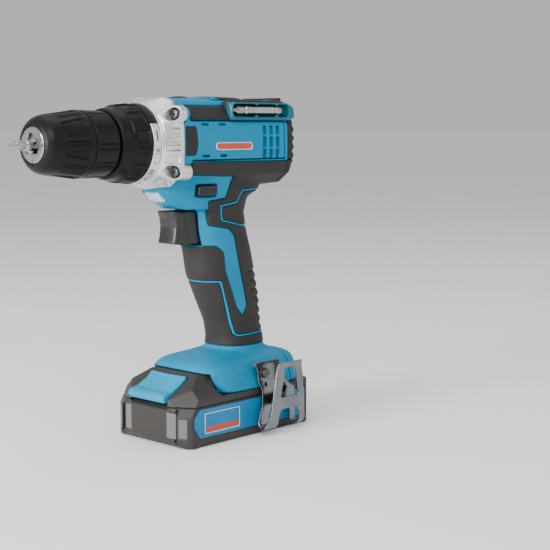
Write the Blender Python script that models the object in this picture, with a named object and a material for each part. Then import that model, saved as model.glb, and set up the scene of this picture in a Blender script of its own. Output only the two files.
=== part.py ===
"""Cordless drill, built as separate parts. Nose along -X, +Z up, lengths below in millimetres.

The origin is the centre of the battery's bottom face. Every sub-part is one closed mesh, and the
pieces of each moving body hang from an empty that lies on that body's joint axis.
"""

import math

import bmesh
import bpy
from mathutils import Matrix, Vector

MM = 0.001
GAP = 0.3  # clearance between touching parts
SLIVER = 0.002 * MM  # shortest edge kept after a Boolean, in metres

# Driving dimensions
AXIS_Z = 194.5  # spindle height over the battery's base
SEGMENTS = 24
BATTERY_X = 58.0  # half length
BATTERY_Y = 35.5  # half width

# Stations along the spindle
NOSE_X = -150.3
SLEEVE_X = (-149.8, -117.9)
REAR_SLEEVE_X = (-117.4, -98.9)
COLLAR_X = (-98.0, -77.3)
RING_X = (-77.0, -70.9)
GEAR_CASE_X = (-70.5, -51.2)
BARREL_X = (-50.8, 41.0)
REAR_CAP_X = (41.3, 49.0)

# Chuck
BIT_FLATS = 6.35
BIT_X = (-166.0, -116.0)
JAW_TILT = math.radians(15.0)
JAW_R = 2.9
JAW_START = (-148.5, 4.6)  # x and radius of the jaw's axis at its tip
JAW_LENGTH = 31.0
JAW_ANGLES = [math.radians(a) for a in (90, 210, 330)]

# Planetary gears: both stages share one set of wheels
MODULE = 0.8
SUN_TEETH, PLANET_TEETH, RING_TEETH = 12, 15, 42
BACKLASH = 0.12
PLANET_ORBIT = MODULE * (SUN_TEETH + PLANET_TEETH) / 2
PLANET_ANGLES = [math.radians(a) for a in (90, 210, 330)]
STAGE_1_X = (-47.5, -42.0)
STAGE_2_X = (-59.0, -53.0)

# Barrel section about the spindle, from the top down the +Y side to the bottom
BARREL_HALF = [(0, 28.9), (13, 28.7), (18, 26.8), (25.5, 16.5), (28.3, 12), (28.8, 0),
               (28.3, -12), (25, -20), (16, -26.6), (0, -28.9)]
CASE_SCREW_AT = [(y, z) for y in (-24.4, 24.4) for z in (-17.6, 18.6)]
LUG_R = 4.8
SPARE_BIT_AT = (-27.3, AXIS_Z + 21.6)  # y and z

# Handle sections: height, centre x, half depth, half width
HANDLE = [(178, -8, 38, 20), (170, -12, 46, 20.5), (163, -13.5, 46, 19.5), (157.6, -16.5, 35.5, 18.5),
          (151.6, -12.2, 29.2, 18), (151.2, -6.0, 22.9, 17.6), (135, -3.5, 24, 17), (123, 0.4, 24, 17),
          (107, 3.8, 24.7, 17), (90, 9.8, 22.3, 17), (73, 14.8, 18.4, 16.8), (62, 17, 18.4, 16.8),
          (57.5, 17, 21, 19), (53, 17, 26, 23)]
HANDLE_POWER = 2.6
HANDLE_POINTS = 20
HANDLE_WALL = 3.2
PAD_DEPTH = 1.2
PAD_RAISE = 0.4

# Foot sections: height, front x, rear x, half width
FOOT = [(31, -27, 50, 35.3), (44, -35.5, 51, 32.5), (48.2, -32, 50.2, 29), (50.5, -26, 48, 26),
        (53.2, -17, 43, 22), (55.6, -8, 37.5, 18.5), (57.4, -2, 35, 16.5)]
FOOT_POWER = 5.0
CHANNEL_TOP = 44.2
CHANNEL_Y = 27.3
RAIL_Z = (36.4, 39.6)
RAIL_Y = 24.3

# Outlines of the soft grips in the side view, as x and z, anticlockwise
FRONT_GRIP = [(-60, 58.2), (60, 58.2), (60, 74.0), (5.0, 74.0), (3.4, 84), (-7, 110), (-8.5, 122),
              (-14, 126.5), (-27, 127.5), (-60, 124.5)]
REAR_GRIP = [(60, 74.6), (60, 182.4), (-48.5, 183.2), (-48.5, 174.6), (-5, 172.8), (-9.7, 158.6),
             (-24.5, 157), (-21, 140.5), (-4.3, 137.6), (0.6, 133), (4.6, 116), (10.2, 95), (12.9, 84.5),
             (12.9, 74.6)]

# Battery
BATTERY_FRONT = -62.5
SLOPE_FOOT = (BATTERY_FRONT, 30.5)
SLOPE_HEAD = (-39.5, 43.9)
SEAM_Z = 26.0
DECK_Z = 30.7
CELL_R = 9.1
CELL_PITCH = 18.1
BUTTON_TRAVEL = 2.5

HOUSING_SCREWS = [(7.0, 100.0), (17.0, 68.0), (7.0, 128.0)]

BLUE = (0.0, 0.39, 0.60)
DARK = (0.045, 0.041, 0.039)
COLOURS = {
    "shell": (BLUE, 0.42, 0.0),
    "grip": (DARK, 0.75, 0.0),
    "black": ((0.025, 0.025, 0.027), 0.5, 0.0),
    "silver": ((0.58, 0.59, 0.6), 0.42, 0.6),
    "steel": ((0.55, 0.56, 0.58), 0.25, 1.0),
    "dark_steel": ((0.2, 0.2, 0.21), 0.35, 1.0),
    "copper": ((0.65, 0.28, 0.14), 0.4, 1.0),
    "teal": ((0.02, 0.42, 0.47), 0.4, 0.0),
    "case": ((0.06, 0.055, 0.05), 0.55, 0.0),
    "lens": ((0.75, 0.85, 0.86), 0.1, 0.0),
    "cell": ((0.02, 0.25, 0.2), 0.5, 0.0),
}


def clear_scene():
    for old in list(bpy.data.objects):
        bpy.data.objects.remove(old, do_unlink=True)


def material(name, look):
    colour, roughness, metallic = COLOURS[look]
    made = bpy.data.materials.new(name)
    made.use_nodes = True
    shader = made.node_tree.nodes["Principled BSDF"]
    shader.inputs["Base Color"].default_value = (*colour, 1.0)
    shader.inputs["Roughness"].default_value = roughness
    shader.inputs["Metallic"].default_value = metallic
    made.diffuse_color = (*colour, 1.0)
    return made


# ---- shapes -------------------------------------------------------------------------------------


def solid(name, points, faces):
    """An object from millimetre points, with its faces turned outwards."""
    mesh = bpy.data.meshes.new(name)
    mesh.from_pydata([Vector(p) * MM for p in points], [], faces)
    work = bmesh.new()
    work.from_mesh(mesh)
    quads = [face for face in work.faces if len(face.verts) == 4]
    bmesh.ops.triangulate(work, faces=quads, quad_method="SHORT_EDGE")
    bmesh.ops.recalc_face_normals(work, faces=work.faces)
    if work.calc_volume(signed=True) < 0:
        bmesh.ops.reverse_faces(work, faces=work.faces)
    work.to_mesh(mesh)
    work.free()
    made = bpy.data.objects.new(name, mesh)
    bpy.context.scene.collection.objects.link(made)
    return made


def stack(name, rings):
    """A closed solid through equal rings of points, capped at both ends."""
    count = len(rings[0])
    points = [p for ring in rings for p in ring]
    faces = [tuple(range(count)), tuple(range(len(points) - count, len(points)))]
    for level in range(len(rings) - 1):
        for i in range(count):
            j = (i + 1) % count
            low, high = level * count, (level + 1) * count
            faces.append((low + i, low + j, high + j, high + i))
    return solid(name, points, faces)


def prism(name, outline, low, high, along="Y"):
    """An outline swept straight along one axis. It is (x, z) along Y, (y, z) along X, (x, y) along Z."""
    place = {
        "X": lambda p, t: (t, p[0], p[1]),
        "Y": lambda p, t: (p[0], t, p[1]),
        "Z": lambda p, t: (p[0], p[1], t),
    }[along]
    return stack(name, [[place(p, t) for p in outline] for t in (low, high)])


def block(name, x, y, z):
    return prism(name, [(x[0], z[0]), (x[1], z[0]), (x[1], z[1]), (x[0], z[1])], y[0], y[1])


def turned(name, profile, segments=SEGMENTS, centre=(0.0, AXIS_Z)):
    """A closed (x, radius) profile turned about a line along X through centre."""
    points, rings = [], []
    for x, radius in profile:
        if radius == 0:
            rings.append([len(points)] * segments)
            points.append((x, centre[0], centre[1]))
            continue
        rings.append([len(points) + k for k in range(segments)])
        for k in range(segments):
            turn = 2 * math.pi * (k + 0.5) / segments
            points.append((x, centre[0] + radius * math.cos(turn), centre[1] + radius * math.sin(turn)))
    faces = []
    for here, after in zip(rings, rings[1:] + rings[:1]):
        for k in range(segments):
            j = (k + 1) % segments
            corners = list(dict.fromkeys((here[k], here[j], after[j], after[k])))
            if len(corners) > 2:
                faces.append(tuple(corners))
    return solid(name, points, faces)


def tube(name, x, outer, inner, segments=SEGMENTS, centre=(0.0, AXIS_Z)):
    return turned(name, [(x[0], inner), (x[0], outer), (x[1], outer), (x[1], inner)], segments, centre)


def rod(name, start, end, radius, segments=20):
    """A round bar between two points."""
    start, end = Vector(start), Vector(end)
    turn = Vector((0, 0, 1)).rotation_difference(end - start).to_matrix()
    rings = []
    for middle in (start, end):
        spokes = (2 * math.pi * (k + 0.5) / segments for k in range(segments))
        ring = (Vector((radius * math.cos(a), radius * math.sin(a), 0)) for a in spokes)
        rings.append([middle + turn @ spoke for spoke in ring])
    return stack(name, rings)


def combine(target, other, operation):
    """A Boolean on target, worked out at once, that uses up the other object."""
    step = target.modifiers.new(operation, "BOOLEAN")
    step.operation = operation
    step.solver = "EXACT"
    step.object = other
    graph = bpy.context.evaluated_depsgraph_get()
    result = bpy.data.meshes.new_from_object(target.evaluated_get(graph))
    work = bmesh.new()
    work.from_mesh(result)
    bmesh.ops.dissolve_degenerate(work, dist=SLIVER, edges=work.edges)
    work.to_mesh(result)
    work.free()
    target.modifiers.clear()
    target.data = result
    bpy.data.objects.remove(other, do_unlink=True)
    return target


def cut(target, *others):
    for other in others:
        combine(target, other, "DIFFERENCE")
    return target


def join(target, *others):
    for other in others:
        combine(target, other, "UNION")
    return target


def keep(target, other):
    return combine(target, other, "INTERSECT")


def copy_of(source, name):
    made = bpy.data.objects.new(name, source.data.copy())
    bpy.context.scene.collection.objects.link(made)
    return made


# ---- the drill's outer form ---------------------------------------------------------------------


def rounded(half_x, half_y, power, count, centre_x=0.0):
    """A rounded rectangle as a superellipse."""
    points = []
    for k in range(count):
        turn = 2 * math.pi * (k + 0.5) / count
        c, s = math.cos(turn), math.sin(turn)
        x = half_x * math.copysign(abs(c) ** (2 / power), c)
        y = half_y * math.copysign(abs(s) ** (2 / power), s)
        points.append((centre_x + x, y))
    return points


def barrel_section(scale=1.0, grow=0.0):
    ring = BARREL_HALF + [(-y, z) for y, z in BARREL_HALF[-2:0:-1]]
    section = []
    for y, z in ring:
        stretch = scale + grow / math.hypot(y, z)
        section.append((y * stretch, AXIS_Z + z * stretch))
    return section


def barrel(name, low, high, grow=0.0, tail=()):
    """The barrel's form from low to high, with (x, scale) pairs for a rounded tail."""
    stations = [(low, 1.0), (high, 1.0), *tail]
    return stack(name, [[(x, y, z) for y, z in barrel_section(s, grow)] for x, s in stations])


def handle(name, grow=0.0, low=0.0, high=400.0):
    """The handle's form, made larger all round by grow, between two heights."""
    rings = []
    for z, centre, depth, width in reversed(HANDLE):
        if low <= z <= high:
            outline = rounded(depth + grow, width + grow, HANDLE_POWER, HANDLE_POINTS, centre)
            rings.append([(x, y, z) for x, y in outline])
    return stack(name, rings)


def foot_form(name):
    rings = []
    for z, front, rear, width in FOOT:
        outline = rounded((rear - front) / 2, width, FOOT_POWER, 32, (front + rear) / 2)
        rings.append([(x, y, z) for x, y in outline])
    return stack(name, rings)


def gear_case_gap():
    """The room that the gear case takes in front of the barrel."""
    return barrel("gap", GEAR_CASE_X[0] - 20, BARREL_X[0], grow=GAP + 0.2)


def side_half(sign, name="half"):
    """A block that covers one side of the middle plane."""
    near, far = sorted((sign * 0.15, sign * 90.0))
    return block(name, (-120, 120), (near, far), (-10, 260))


# ---- housing ------------------------------------------------------------------------------------


def throat(distance, lift):
    """A point on the slanted face under the nose, as x and z."""
    return (-60.5 + 0.739 * distance - 0.674 * lift, 165.0 - 0.674 * distance - 0.739 * lift)


def housing_body():
    body = barrel("housing", *BARREL_X)
    join(body, handle("handle"))
    for y, z in CASE_SCREW_AT:
        lug = turned("lug", [(BARREL_X[0], 0), (BARREL_X[0], LUG_R), (-45.0, LUG_R), (-39.0, 0)], 16,
                     (y, AXIS_Z + z))
        join(body, lug)
    cut(body, gear_case_gap())
    join(body, foot_form("foot"))
    return body


def hollow_out(body):
    cut(body, turned("motor_room", [(-60, 0), (-60, 23.3), (-37.0, 23.3), (-37.0, 20.6), (-35, 20.6),
                                    (-35, 24.6), (60, 24.6), (60, 0)]))
    cut(body, handle("grip_room", -HANDLE_WALL - PAD_DEPTH, low=57.5, high=171))
    cut(body, block("channel", (-70, 46.9), (-CHANNEL_Y, CHANNEL_Y), (20, CHANNEL_TOP)))
    for sign in (-1, 1):
        near, far = sorted((sign * RAIL_Y, sign * (CHANNEL_Y + 0.5)))
        join(body, block("rail", (-19, 47.2), (near, far), RAIL_Z))
    cut(body, block("terminal_room", (6, 30), (-12.3, 12.3), (40, 60)))


def openings_of(body):
    cut(body, block("trigger_slot", (-70, -12), (-9.4, 9.4), (127.2, 151.8)))
    lens_room = [throat(2.6, 5), throat(12.4, 5), throat(12.4, -3.4), throat(2.6, -3.4)]
    cut(body, prism("lens_room", lens_room, -7.3, 7.3))
    cut(body, block("button_way", (-35.4, -18.6), (-60, 60), (160.4, 167.6)))
    for y, z in CASE_SCREW_AT:
        cut(body, rod("screw_way", (-80, y, AXIS_Z + z), (-42.0, y, AXIS_Z + z), 1.9, 12))
    cut(body, rod("clip_screw_way", (10, -60, 40.5), (10, -28.5, 40.5), 1.8, 12))


def add_bosses(body):
    for x, z in HOUSING_SCREWS:
        join(body, rod("boss", (x, -13.0, z), (x, 13.0, z), 3.6, 14))
        cut(body, rod("shank_way", (x, -9, z), (x, 30, z), 1.8, 12))
        cut(body, rod("head_way", (x, 12.5, z), (x, 30, z), 3.3, 14))


def inset(outline, gap):
    """An anticlockwise outline with every side moved inwards by gap."""
    moved = []
    for i, here in enumerate(outline):
        before, after = Vector(outline[i - 1]), Vector(outline[(i + 1) % len(outline)])
        into, out = (Vector(here) - before).normalized(), (after - Vector(here)).normalized()
        normal_in, normal_out = Vector((-into.y, into.x)), Vector((-out.y, out.x))
        corner = normal_in + normal_out
        moved.append(tuple(Vector(here) + corner * gap / (1 + normal_in.dot(normal_out))))
    return moved


def grip_form(grow):
    body = handle("grip_form", grow)
    return join(body, barrel("grip_barrel", -48.9, BARREL_X[1], grow))


def build_housing():
    body = housing_body()
    for outline in (FRONT_GRIP, REAR_GRIP):
        recess = prism("recess", outline, -70, 70)
        cut(recess, grip_form(-PAD_DEPTH))
        cut(body, recess)
    hollow_out(body)
    add_bosses(body)
    openings_of(body)
    left = copy_of(body, "housing_left")
    right = body
    right.name = "housing_right"
    keep(left, side_half(-1))
    keep(right, side_half(1))
    return [left, right]


def build_grips():
    made = []
    for name, outline in (("grip_front", FRONT_GRIP), ("grip_rear", REAR_GRIP)):
        pad = grip_form(PAD_RAISE)
        cut(pad, grip_form(GAP - PAD_DEPTH))
        keep(pad, prism("zone", inset(outline, GAP), -70, 70))
        cut(pad, gear_case_gap())
        if name == "grip_front":
            cut(pad, block("trigger_clear", (-70, -12), (-9.8, 9.8), (126.6, 152)))
        for x, z in HOUSING_SCREWS:
            cut(pad, rod("screw_hole", (x, 8, z), (x, 30, z), 3.6, 14))
        for x, z in CASE_SCREW_AT:
            cut(pad, rod("lug_hole", (-60, x, AXIS_Z + z), (-38, x, AXIS_Z + z), LUG_R + 0.5, 16))
        left = copy_of(pad, name + "_left")
        keep(left, side_half(-1))
        pad.name = name + "_right"
        keep(pad, side_half(1))
        made += [left, pad]
    return made


def build_rear_cap():
    tail = ((45.5, 0.96), (48.0, 0.88), (REAR_CAP_X[1], 0.8))
    cap = barrel("rear_cap", REAR_CAP_X[0], 43.5, grow=PAD_RAISE, tail=tail)
    cut(cap, turned("cap_room", [(40, 0), (40, 23.5), (46.2, 21.0), (46.2, 0)]))
    for row in range(-3, 4):
        cut(cap, block("slot", (44, 60), (-11, 11), (AXIS_Z + 4.6 * row - 1.0, AXIS_Z + 4.6 * row + 1.0)))
    return cap


def build_top_cover():
    outline = [(-17.6, 20), (-17.6, 27.6), (-12.6, 30.4), (12.6, 30.4), (17.6, 27.6), (17.6, 20)]
    cover = prism("top_cover", [(y, AXIS_Z + z) for y, z in outline], -46.0, BARREL_X[1], "X")
    cut(cover, barrel("under", -60, 60, grow=0.35))
    cut(cover, block("knob_slot", (-41.4, -20.6), (-7.3, 7.3), (AXIS_Z + 20, AXIS_Z + 40)))
    return cover


def build_bit_holder():
    outline = [(-18.3, 26.6), (-26.0, 15.4), (-28.2, 15.6), (-29.2, 17.6), (-28.4, 25.0), (-23.5, 28.0)]
    holder = prism("bit_holder", [(y, AXIS_Z + z) for y, z in outline], -13.5, 44.5, "X")
    cut(holder, barrel("under", -60, 60, grow=PAD_RAISE + 0.35))
    cut(holder, prism("cover_gap", [(-18.0, 240), (-18.0, 200), (0, 200), (0, 240)], -60, 60, "X"))
    y, z = SPARE_BIT_AT
    cut(holder, rod("groove", (-12, y, z), (38.5, y, z), 3.9, 16))
    return holder


def build_gear_case():
    case = barrel("gear_case", *GEAR_CASE_X)
    nose = turned("nose", [(-95.0, 0), (-95.0, 13.0), (-74, 13.0), (-74, 19.5), (-69.0, 19.5), (-69, 0)])
    for y, z in CASE_SCREW_AT:
        front, rear = (GEAR_CASE_X[0] - 0.5, y, AXIS_Z + z), (GEAR_CASE_X[1] - 0.1, y, AXIS_Z + z)
        join(case, rod("lobe", front, rear, LUG_R, 16))
    join(case, turned("spigot", [(-53, 0), (-53, 22.9), (-37.4, 22.9), (-37.4, 0)]))
    join(case, nose)
    cut(case, turned("gear_room", [(-99, 0), (-99, 11.3), (-68, 11.3), (-68, 20.3), (-30, 20.3), (-30, 0)]))
    for y, z in CASE_SCREW_AT:
        cut(case, rod("way", (-80, y, AXIS_Z + z), (-40, y, AXIS_Z + z), 2.3, 12))
        cut(case, rod("head_way", (-80, y, AXIS_Z + z), (-62.5, y, AXIS_Z + z), 3.8, 16))
    return case


def build_case_screws():
    made = []
    for number, (y, z) in enumerate(CASE_SCREW_AT, 1):
        profile = [(-66, 0), (-66, 3.2), (-62.9, 3.2), (-62.9, 1.6), (-43, 1.6), (-43, 0)]
        screw = turned(f"case_screw_{number}", profile, 14, (y, AXIS_Z + z))
        cut(screw, block("drive", (-67, -64.6), (y - 1.4, y + 1.4), (AXIS_Z + z - 0.4, AXIS_Z + z + 0.4)))
        made.append(screw)
    return made


def build_housing_screws():
    made = []
    for number, (x, z) in enumerate(HOUSING_SCREWS, 1):
        screw = rod(f"housing_screw_{number}", (x, -8.5, z), (x, 13.2, z), 1.5, 12)
        join(screw, rod("head", (x, 12.8, z), (x, 14.8, z), 2.9, 14))
        made.append(screw)
    return made


def build_lens():
    outline = [throat(3, 0.6), throat(12, 0.6), throat(12, -3.0), throat(3, -3.0)]
    return prism("led_lens", outline, -7.0, 7.0)


# ---- belt clip ----------------------------------------------------------------------------------


def build_belt_clip():
    inner_y, outer_y, bend_z, bend_r, gauge = -37.0, -47.0, 9.0, 5.0, 1.2
    middle = [(-36.4, 50.0), (-36.4, 36.0), (inner_y - 1.0, 31.5)]
    for step in range(9):
        turn = math.pi * step / 8
        middle.append((outer_y / 2 + (inner_y - 1.0) / 2 + (bend_r - 0.5) * math.cos(turn),
                       bend_z - bend_r * math.sin(turn)))
    middle += [(outer_y, 12.0), (outer_y, 40.0), (outer_y, 44.0), (outer_y - 1.8, 49.5)]
    left, right = [], []
    for i, here in enumerate(middle):
        before, after = middle[max(i - 1, 0)], middle[min(i + 1, len(middle) - 1)]
        along = Vector((after[0] - before[0], after[1] - before[1])).normalized()
        side = Vector((-along.y, along.x)) * gauge / 2
        left.append((here[0] + side.x, here[1] + side.y))
        right.append((here[0] - side.x, here[1] - side.y))
    clip = prism("belt_clip", left + right[::-1], -2.4, 38.0, "X")
    for outline in ([(-9, 4), (-0.6, 6.3), (4.5, 14.3), (7.9, 32.4), (11.2, 47.7), (11.6, 60), (-9, 60)],
                    [(50, 8), (38.1, 8), (37.5, 14.5), (36, 36.7), (33.9, 47.9), (33, 60), (50, 60)]):
        cut(clip, prism("taper", outline, -60, -42))
    cut(clip, prism("window", [(13.9, 24.5), (31.2, 24.5), (28.5, 44.2), (18, 44.2)], -60, -42))
    edge = [(-9, 8), (1.5, 8), (5.3, 18.3), (5.3, 28.6), (3.0, 35.1), (2.2, 43.2), (-2.2, 49), (-2.2, 60),
            (-9, 60)]
    cut(clip, prism("back_edge", edge, -42, -30))
    arch = [(11.6, -5), (32.4, -5), (32.4, 11.5), (29.5, 16.3), (14.5, 16.3), (11.6, 11)]
    cut(clip, prism("notch", arch, -60, -30))
    cut(clip, prism("back_trim", [(24.5, 60), (24.5, 44), (20, 34), (33, 31), (60, 31), (60, 60)], -42, -30))
    cut(clip, rod("hole", (10, -45, 40.5), (10, -30, 40.5), 2.2, 14))
    return clip


def build_clip_screw():
    screw = rod("belt_clip_screw", (10, -39.1, 40.5), (10, -37.3, 40.5), 3.4, 16)
    join(screw, rod("shank", (10, -37.6, 40.5), (10, -29.5, 40.5), 1.5, 12))
    cut(screw, block("drive", (8.4, 11.6), (-40, -38.3), (40.0, 41.0)))
    return screw


# ---- gears and motor ----------------------------------------------------------------------------


def gear_outline(teeth, centre, phase, inside=False):
    """A toothed ring of (y, z) points about centre. phase is the angle of one tooth's middle."""
    pitch = MODULE * teeth / 2
    inward = -1 if inside else 1
    tip, root = pitch + inward * 0.7 * MODULE, pitch - inward * 1.15 * MODULE
    half_pitch = math.pi / (2 * teeth)
    points = []
    for tooth in range(teeth):
        middle = phase + 2 * math.pi * tooth / teeth
        for radius, share in ((root, -1.42), (tip, -0.52), (tip, 0.52), (root, 1.42)):
            turn = middle + half_pitch * share - math.copysign(BACKLASH / pitch, share)
            points.append((centre[0] + radius * math.cos(turn), centre[1] + radius * math.sin(turn)))
    return points


def wheel(name, teeth, x, centre, phase, bore=None):
    made = prism(name, gear_outline(teeth, centre, phase), x[0], x[1], "X")
    if bore:
        cut(made, tube_core(x, bore, centre))
    return made


def tube_core(x, radius, centre):
    return rod("core", (x[0] - 1, *centre), (x[1] + 1, *centre), radius, 16)


def ring_gear(name, x, outer):
    """A ring gear whose tooth gaps face every planet."""
    made = turned(name, [(x[0], 0), (x[0], outer), (x[1], outer), (x[1], 0)])
    phase = PLANET_ANGLES[0] + math.pi / RING_TEETH
    gaps = prism("gaps", gear_outline(RING_TEETH, (0, AXIS_Z), phase, True), x[0] - 1, x[1] + 1, "X")
    return cut(made, gaps)


def planet_centre(turn):
    return (PLANET_ORBIT * math.cos(turn), AXIS_Z + PLANET_ORBIT * math.sin(turn))


def build_planet(stage, turn, x):
    """One planet: its tooth points outwards into a gap of the ring."""
    return wheel(f"planet_{stage}_{'abc'[PLANET_ANGLES.index(turn)]}", PLANET_TEETH, x, planet_centre(turn),
                 turn, 2.0)


def sun_phase():
    """Angle of a sun tooth that meets the planets' inward gaps."""
    return PLANET_ANGLES[0]


def carrier_disc(name, x, pin_end, bore):
    profile = [(x[0], bore), (x[0], 14.8), (x[1], 14.8), (x[1], bore)] if bore else \
        [(x[0], 0), (x[0], 14.8), (x[1], 14.8), (x[1], 0)]
    disc = turned(name, profile)
    for turn in PLANET_ANGLES:
        y, z = planet_centre(turn)
        join(disc, rod("pin", (x[0] + 0.5, y, z), (pin_end, y, z), 1.7, 12))
    return disc


def build_spindle():
    spindle = carrier_disc("spindle", (-63.5, -59.9), -53.3, 0)
    shaft = [(-111.0, 0), (-111.0, 6.1), (-99.4, 6.1), (-99.4, 6.9), (-98.6, 6.9), (-98.6, 6.0),
             (-63.0, 6.0), (-63.0, 0)]
    return join(spindle, turned("shaft", shaft))


def build_carrier():
    carrier = carrier_disc("carrier_1", (-51.6, -48.6), -42.2, 0)
    sun = wheel("sun", SUN_TEETH, (STAGE_2_X[0] + 0.3, -51.0), (0, AXIS_Z), sun_phase())
    return join(carrier, sun)


def build_motor():
    can = turned("motor_can", [(-37.0, 2.3), (-37.0, 18.0), (16.0, 18.0), (16.0, 16.2), (-35.0, 16.2),
                               (-35.0, 2.3)])
    end = turned("motor_end_cap", [(16.3, 2.3), (16.3, 18.0), (20.0, 18.0), (20.0, 2.3)])
    plate = turned("motor_plate", [(-40.6, 6.5), (-40.6, 20.0), (-37.4, 20.0), (-37.4, 6.5)])
    return [can, end, plate]


def build_armature():
    core = []
    for slot in range(12):
        for offset, radius in ((-0.14, 11.5), (-0.11, 15.2), (0.11, 15.2), (0.14, 11.5)):
            turn = 2 * math.pi * slot / 12 + offset
            core.append((radius * math.cos(turn), AXIS_Z + radius * math.sin(turn)))
    armature = prism("armature", core, -30.0, 5.0, "X")
    join(armature, turned("commutator", [(4.5, 0), (4.5, 6.0), (13.5, 6.0), (13.5, 0)], 24))
    return cut(armature, rod("bore", (-40, 0, AXIS_Z), (20, 0, AXIS_Z), 2.0, 16))


def build_fan():
    fan = turned("cooling_fan", [(22, 1.9), (22, 19.5), (23.4, 19.5), (23.4, 5.0), (30.0, 5.0), (30.0, 1.9)])
    for blade in range(9):
        vane = block("vane", (23.0, 30.0), (-0.6, 0.6), (AXIS_Z + 4.0, AXIS_Z + 19.0))
        turn = Matrix.Rotation(2 * math.pi * blade / 9, 4, "X")
        middle = Matrix.Translation((0, 0, AXIS_Z * MM))
        vane.data.transform(middle @ turn @ middle.inverted())
        join(fan, vane)
    return fan


def build_rotor():
    shaft = turned("rotor_shaft", [(-47.9, 0), (-47.9, 1.58), (31.0, 1.58), (31.0, 0)], 16)
    pinion = wheel("motor_pinion", SUN_TEETH, STAGE_1_X, (0, AXIS_Z), sun_phase(), 1.9)
    return [shaft, pinion, build_armature(), build_fan()]


# ---- clutch -------------------------------------------------------------------------------------


def build_torque_collar():
    profile = [(COLLAR_X[0], 9.0), (COLLAR_X[0], 21.2), (-97.0, 22.2), (-90.5, 22.8), (-88.5, 24.2),
               (-78.5, 25.0), (COLLAR_X[1], 24.6), (COLLAR_X[1], 20.0), (-80, 18.4), (-95.7, 18.4),
               (-95.7, 9.0)]
    collar = turned("torque_collar", profile, 36)
    for rib in range(12):
        turn = math.radians(30 * rib + 15)
        y, z = 26.3 * math.cos(turn), AXIS_Z + 26.3 * math.sin(turn)
        cut(collar, rod("scoop", (-88, y, z), (-70, y, z), 3.0, 12))
    return collar


def build_number_ring():
    return tube("number_ring", RING_X, 25.4, 20.2, 36)


def build_clutch():
    nut = tube("clutch_nut", (-88.0, -84.6), 17.9, 13.4)
    turns, per_turn, mean, wire = 4.5, 10, 15.6, 1.0
    start, end = -82.9, -75.5
    count = int(turns * per_turn)
    rings = []
    for k in range(count + 1):
        turn = 2 * math.pi * k / per_turn
        x = start + (end - start) * k / count
        spoke = Vector((0, math.cos(turn), math.sin(turn)))
        ring = []
        for a in (2 * math.pi * s / 5 for s in range(5)):
            ring.append(Vector((x + wire * math.sin(a), 0, AXIS_Z)) + spoke * (mean + wire * math.cos(a)))
        rings.append(ring)
    return [nut, stack("clutch_spring", rings)]


# ---- chuck --------------------------------------------------------------------------------------


def jaw_line(turn, distance):
    """A point on one jaw's own sloping axis."""
    x = JAW_START[0] + distance * math.cos(JAW_TILT)
    radius = JAW_START[1] + distance * math.sin(JAW_TILT)
    return (x, radius * math.cos(turn), AXIS_Z + radius * math.sin(turn))


def build_chuck_body():
    profile = [(NOSE_X, 5.3), (NOSE_X, 10.4), (-149.6, 11.0), (-146.3, 11.0), (-146.3, 13.5), (-121.0, 13.5),
               (-114.0, 9.6), (-104.0, 9.6), (-104.0, 17.5), (-100.0, 17.5), (-100.0, 6.5), (-112.0, 6.5),
               (-112.0, 5.3)]
    body = turned("chuck_body", profile)
    for turn in JAW_ANGLES:
        cut(body, rod("jaw_way", jaw_line(turn, -6), jaw_line(turn, 44), JAW_R + GAP, 16))
    return body


def build_jaws():
    made = []
    for number, turn in enumerate(JAW_ANGLES, 1):
        jaw = rod(f"jaw_{number}", jaw_line(turn, 0), jaw_line(turn, JAW_LENGTH), JAW_R, 18)
        face = block("grip_face", (-170, -90), (-20, 20), (AXIS_Z - 20, AXIS_Z + BIT_FLATS / 2 + 0.13))
        middle = Matrix.Translation((0, 0, AXIS_Z * MM))
        face.data.transform(middle @ Matrix.Rotation(turn - math.pi / 2, 4, "X") @ middle.inverted())
        made.append(cut(jaw, face))
    return made


def build_sleeves():
    front = [(SLEEVE_X[0], 11.4), (SLEEVE_X[0], 12.4), (-148.9, 14.2), (-147.2, 15.9), (-144.8, 17.3),
             (-141, 18.2), (-133, 19.0), (-124, 20.3), (-119.5, 20.9), (SLEEVE_X[1], 20.6),
             (SLEEVE_X[1], 16.9), (-134.4, 16.9), (-134.4, 13.8), (-146.6, 13.8), (-146.6, 11.4)]
    sleeve = turned("chuck_sleeve", front, 36)
    for rib in range(12):
        turn = 2 * math.pi * (rib + 0.5) / 12
        start = (-137, 20.2 * math.cos(turn), AXIS_Z + 20.2 * math.sin(turn))
        end = (-119, 21.9 * math.cos(turn), AXIS_Z + 21.9 * math.sin(turn))
        cut(sleeve, rod("groove", start, end, 1.4, 6))
    nut = tube("chuck_nut", (-133.9, -127.0), 16.5, 13.9)
    x0, x1 = REAR_SLEEVE_X
    rear_profile = [(x0, 18.2), (x0, 20.4), (x0 + 0.8, 20.9), (x1 - 1.5, 20.5), (x1, 19.8), (x1, 17.9),
                    (-104.2, 17.9), (-104.2, 18.2)]
    return sleeve, nut, turned("chuck_rear_sleeve", rear_profile)


def hexagon(x, radius, centre):
    corners = [math.radians(60 * k) for k in range(6)]
    return [(x, centre[0] + radius * math.cos(a), centre[1] + radius * math.sin(a)) for a in corners]


def build_bit():
    corner = BIT_FLATS / math.sqrt(3)
    rings = [hexagon(x, corner * s, (0, AXIS_Z))
             for x, s in ((BIT_X[0], 0.28), (-161.5, 0.8), (-156.0, 0.84), (-153.5, 1.0), (BIT_X[1], 1.0))]
    bit = stack("driver_bit", rings)
    for turn in (0, 90, 180, 270):
        flute = prism("flute", [(-168, 0.7), (-160.5, 3.4), (-160.5, 6), (-168, 6)], 0.55, 4.0)
        middle = Matrix.Translation((0, 0, AXIS_Z * MM))
        flute.data.transform(middle @ Matrix.Rotation(math.radians(turn), 4, "X"))
        cut(bit, flute)
    return bit


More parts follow.
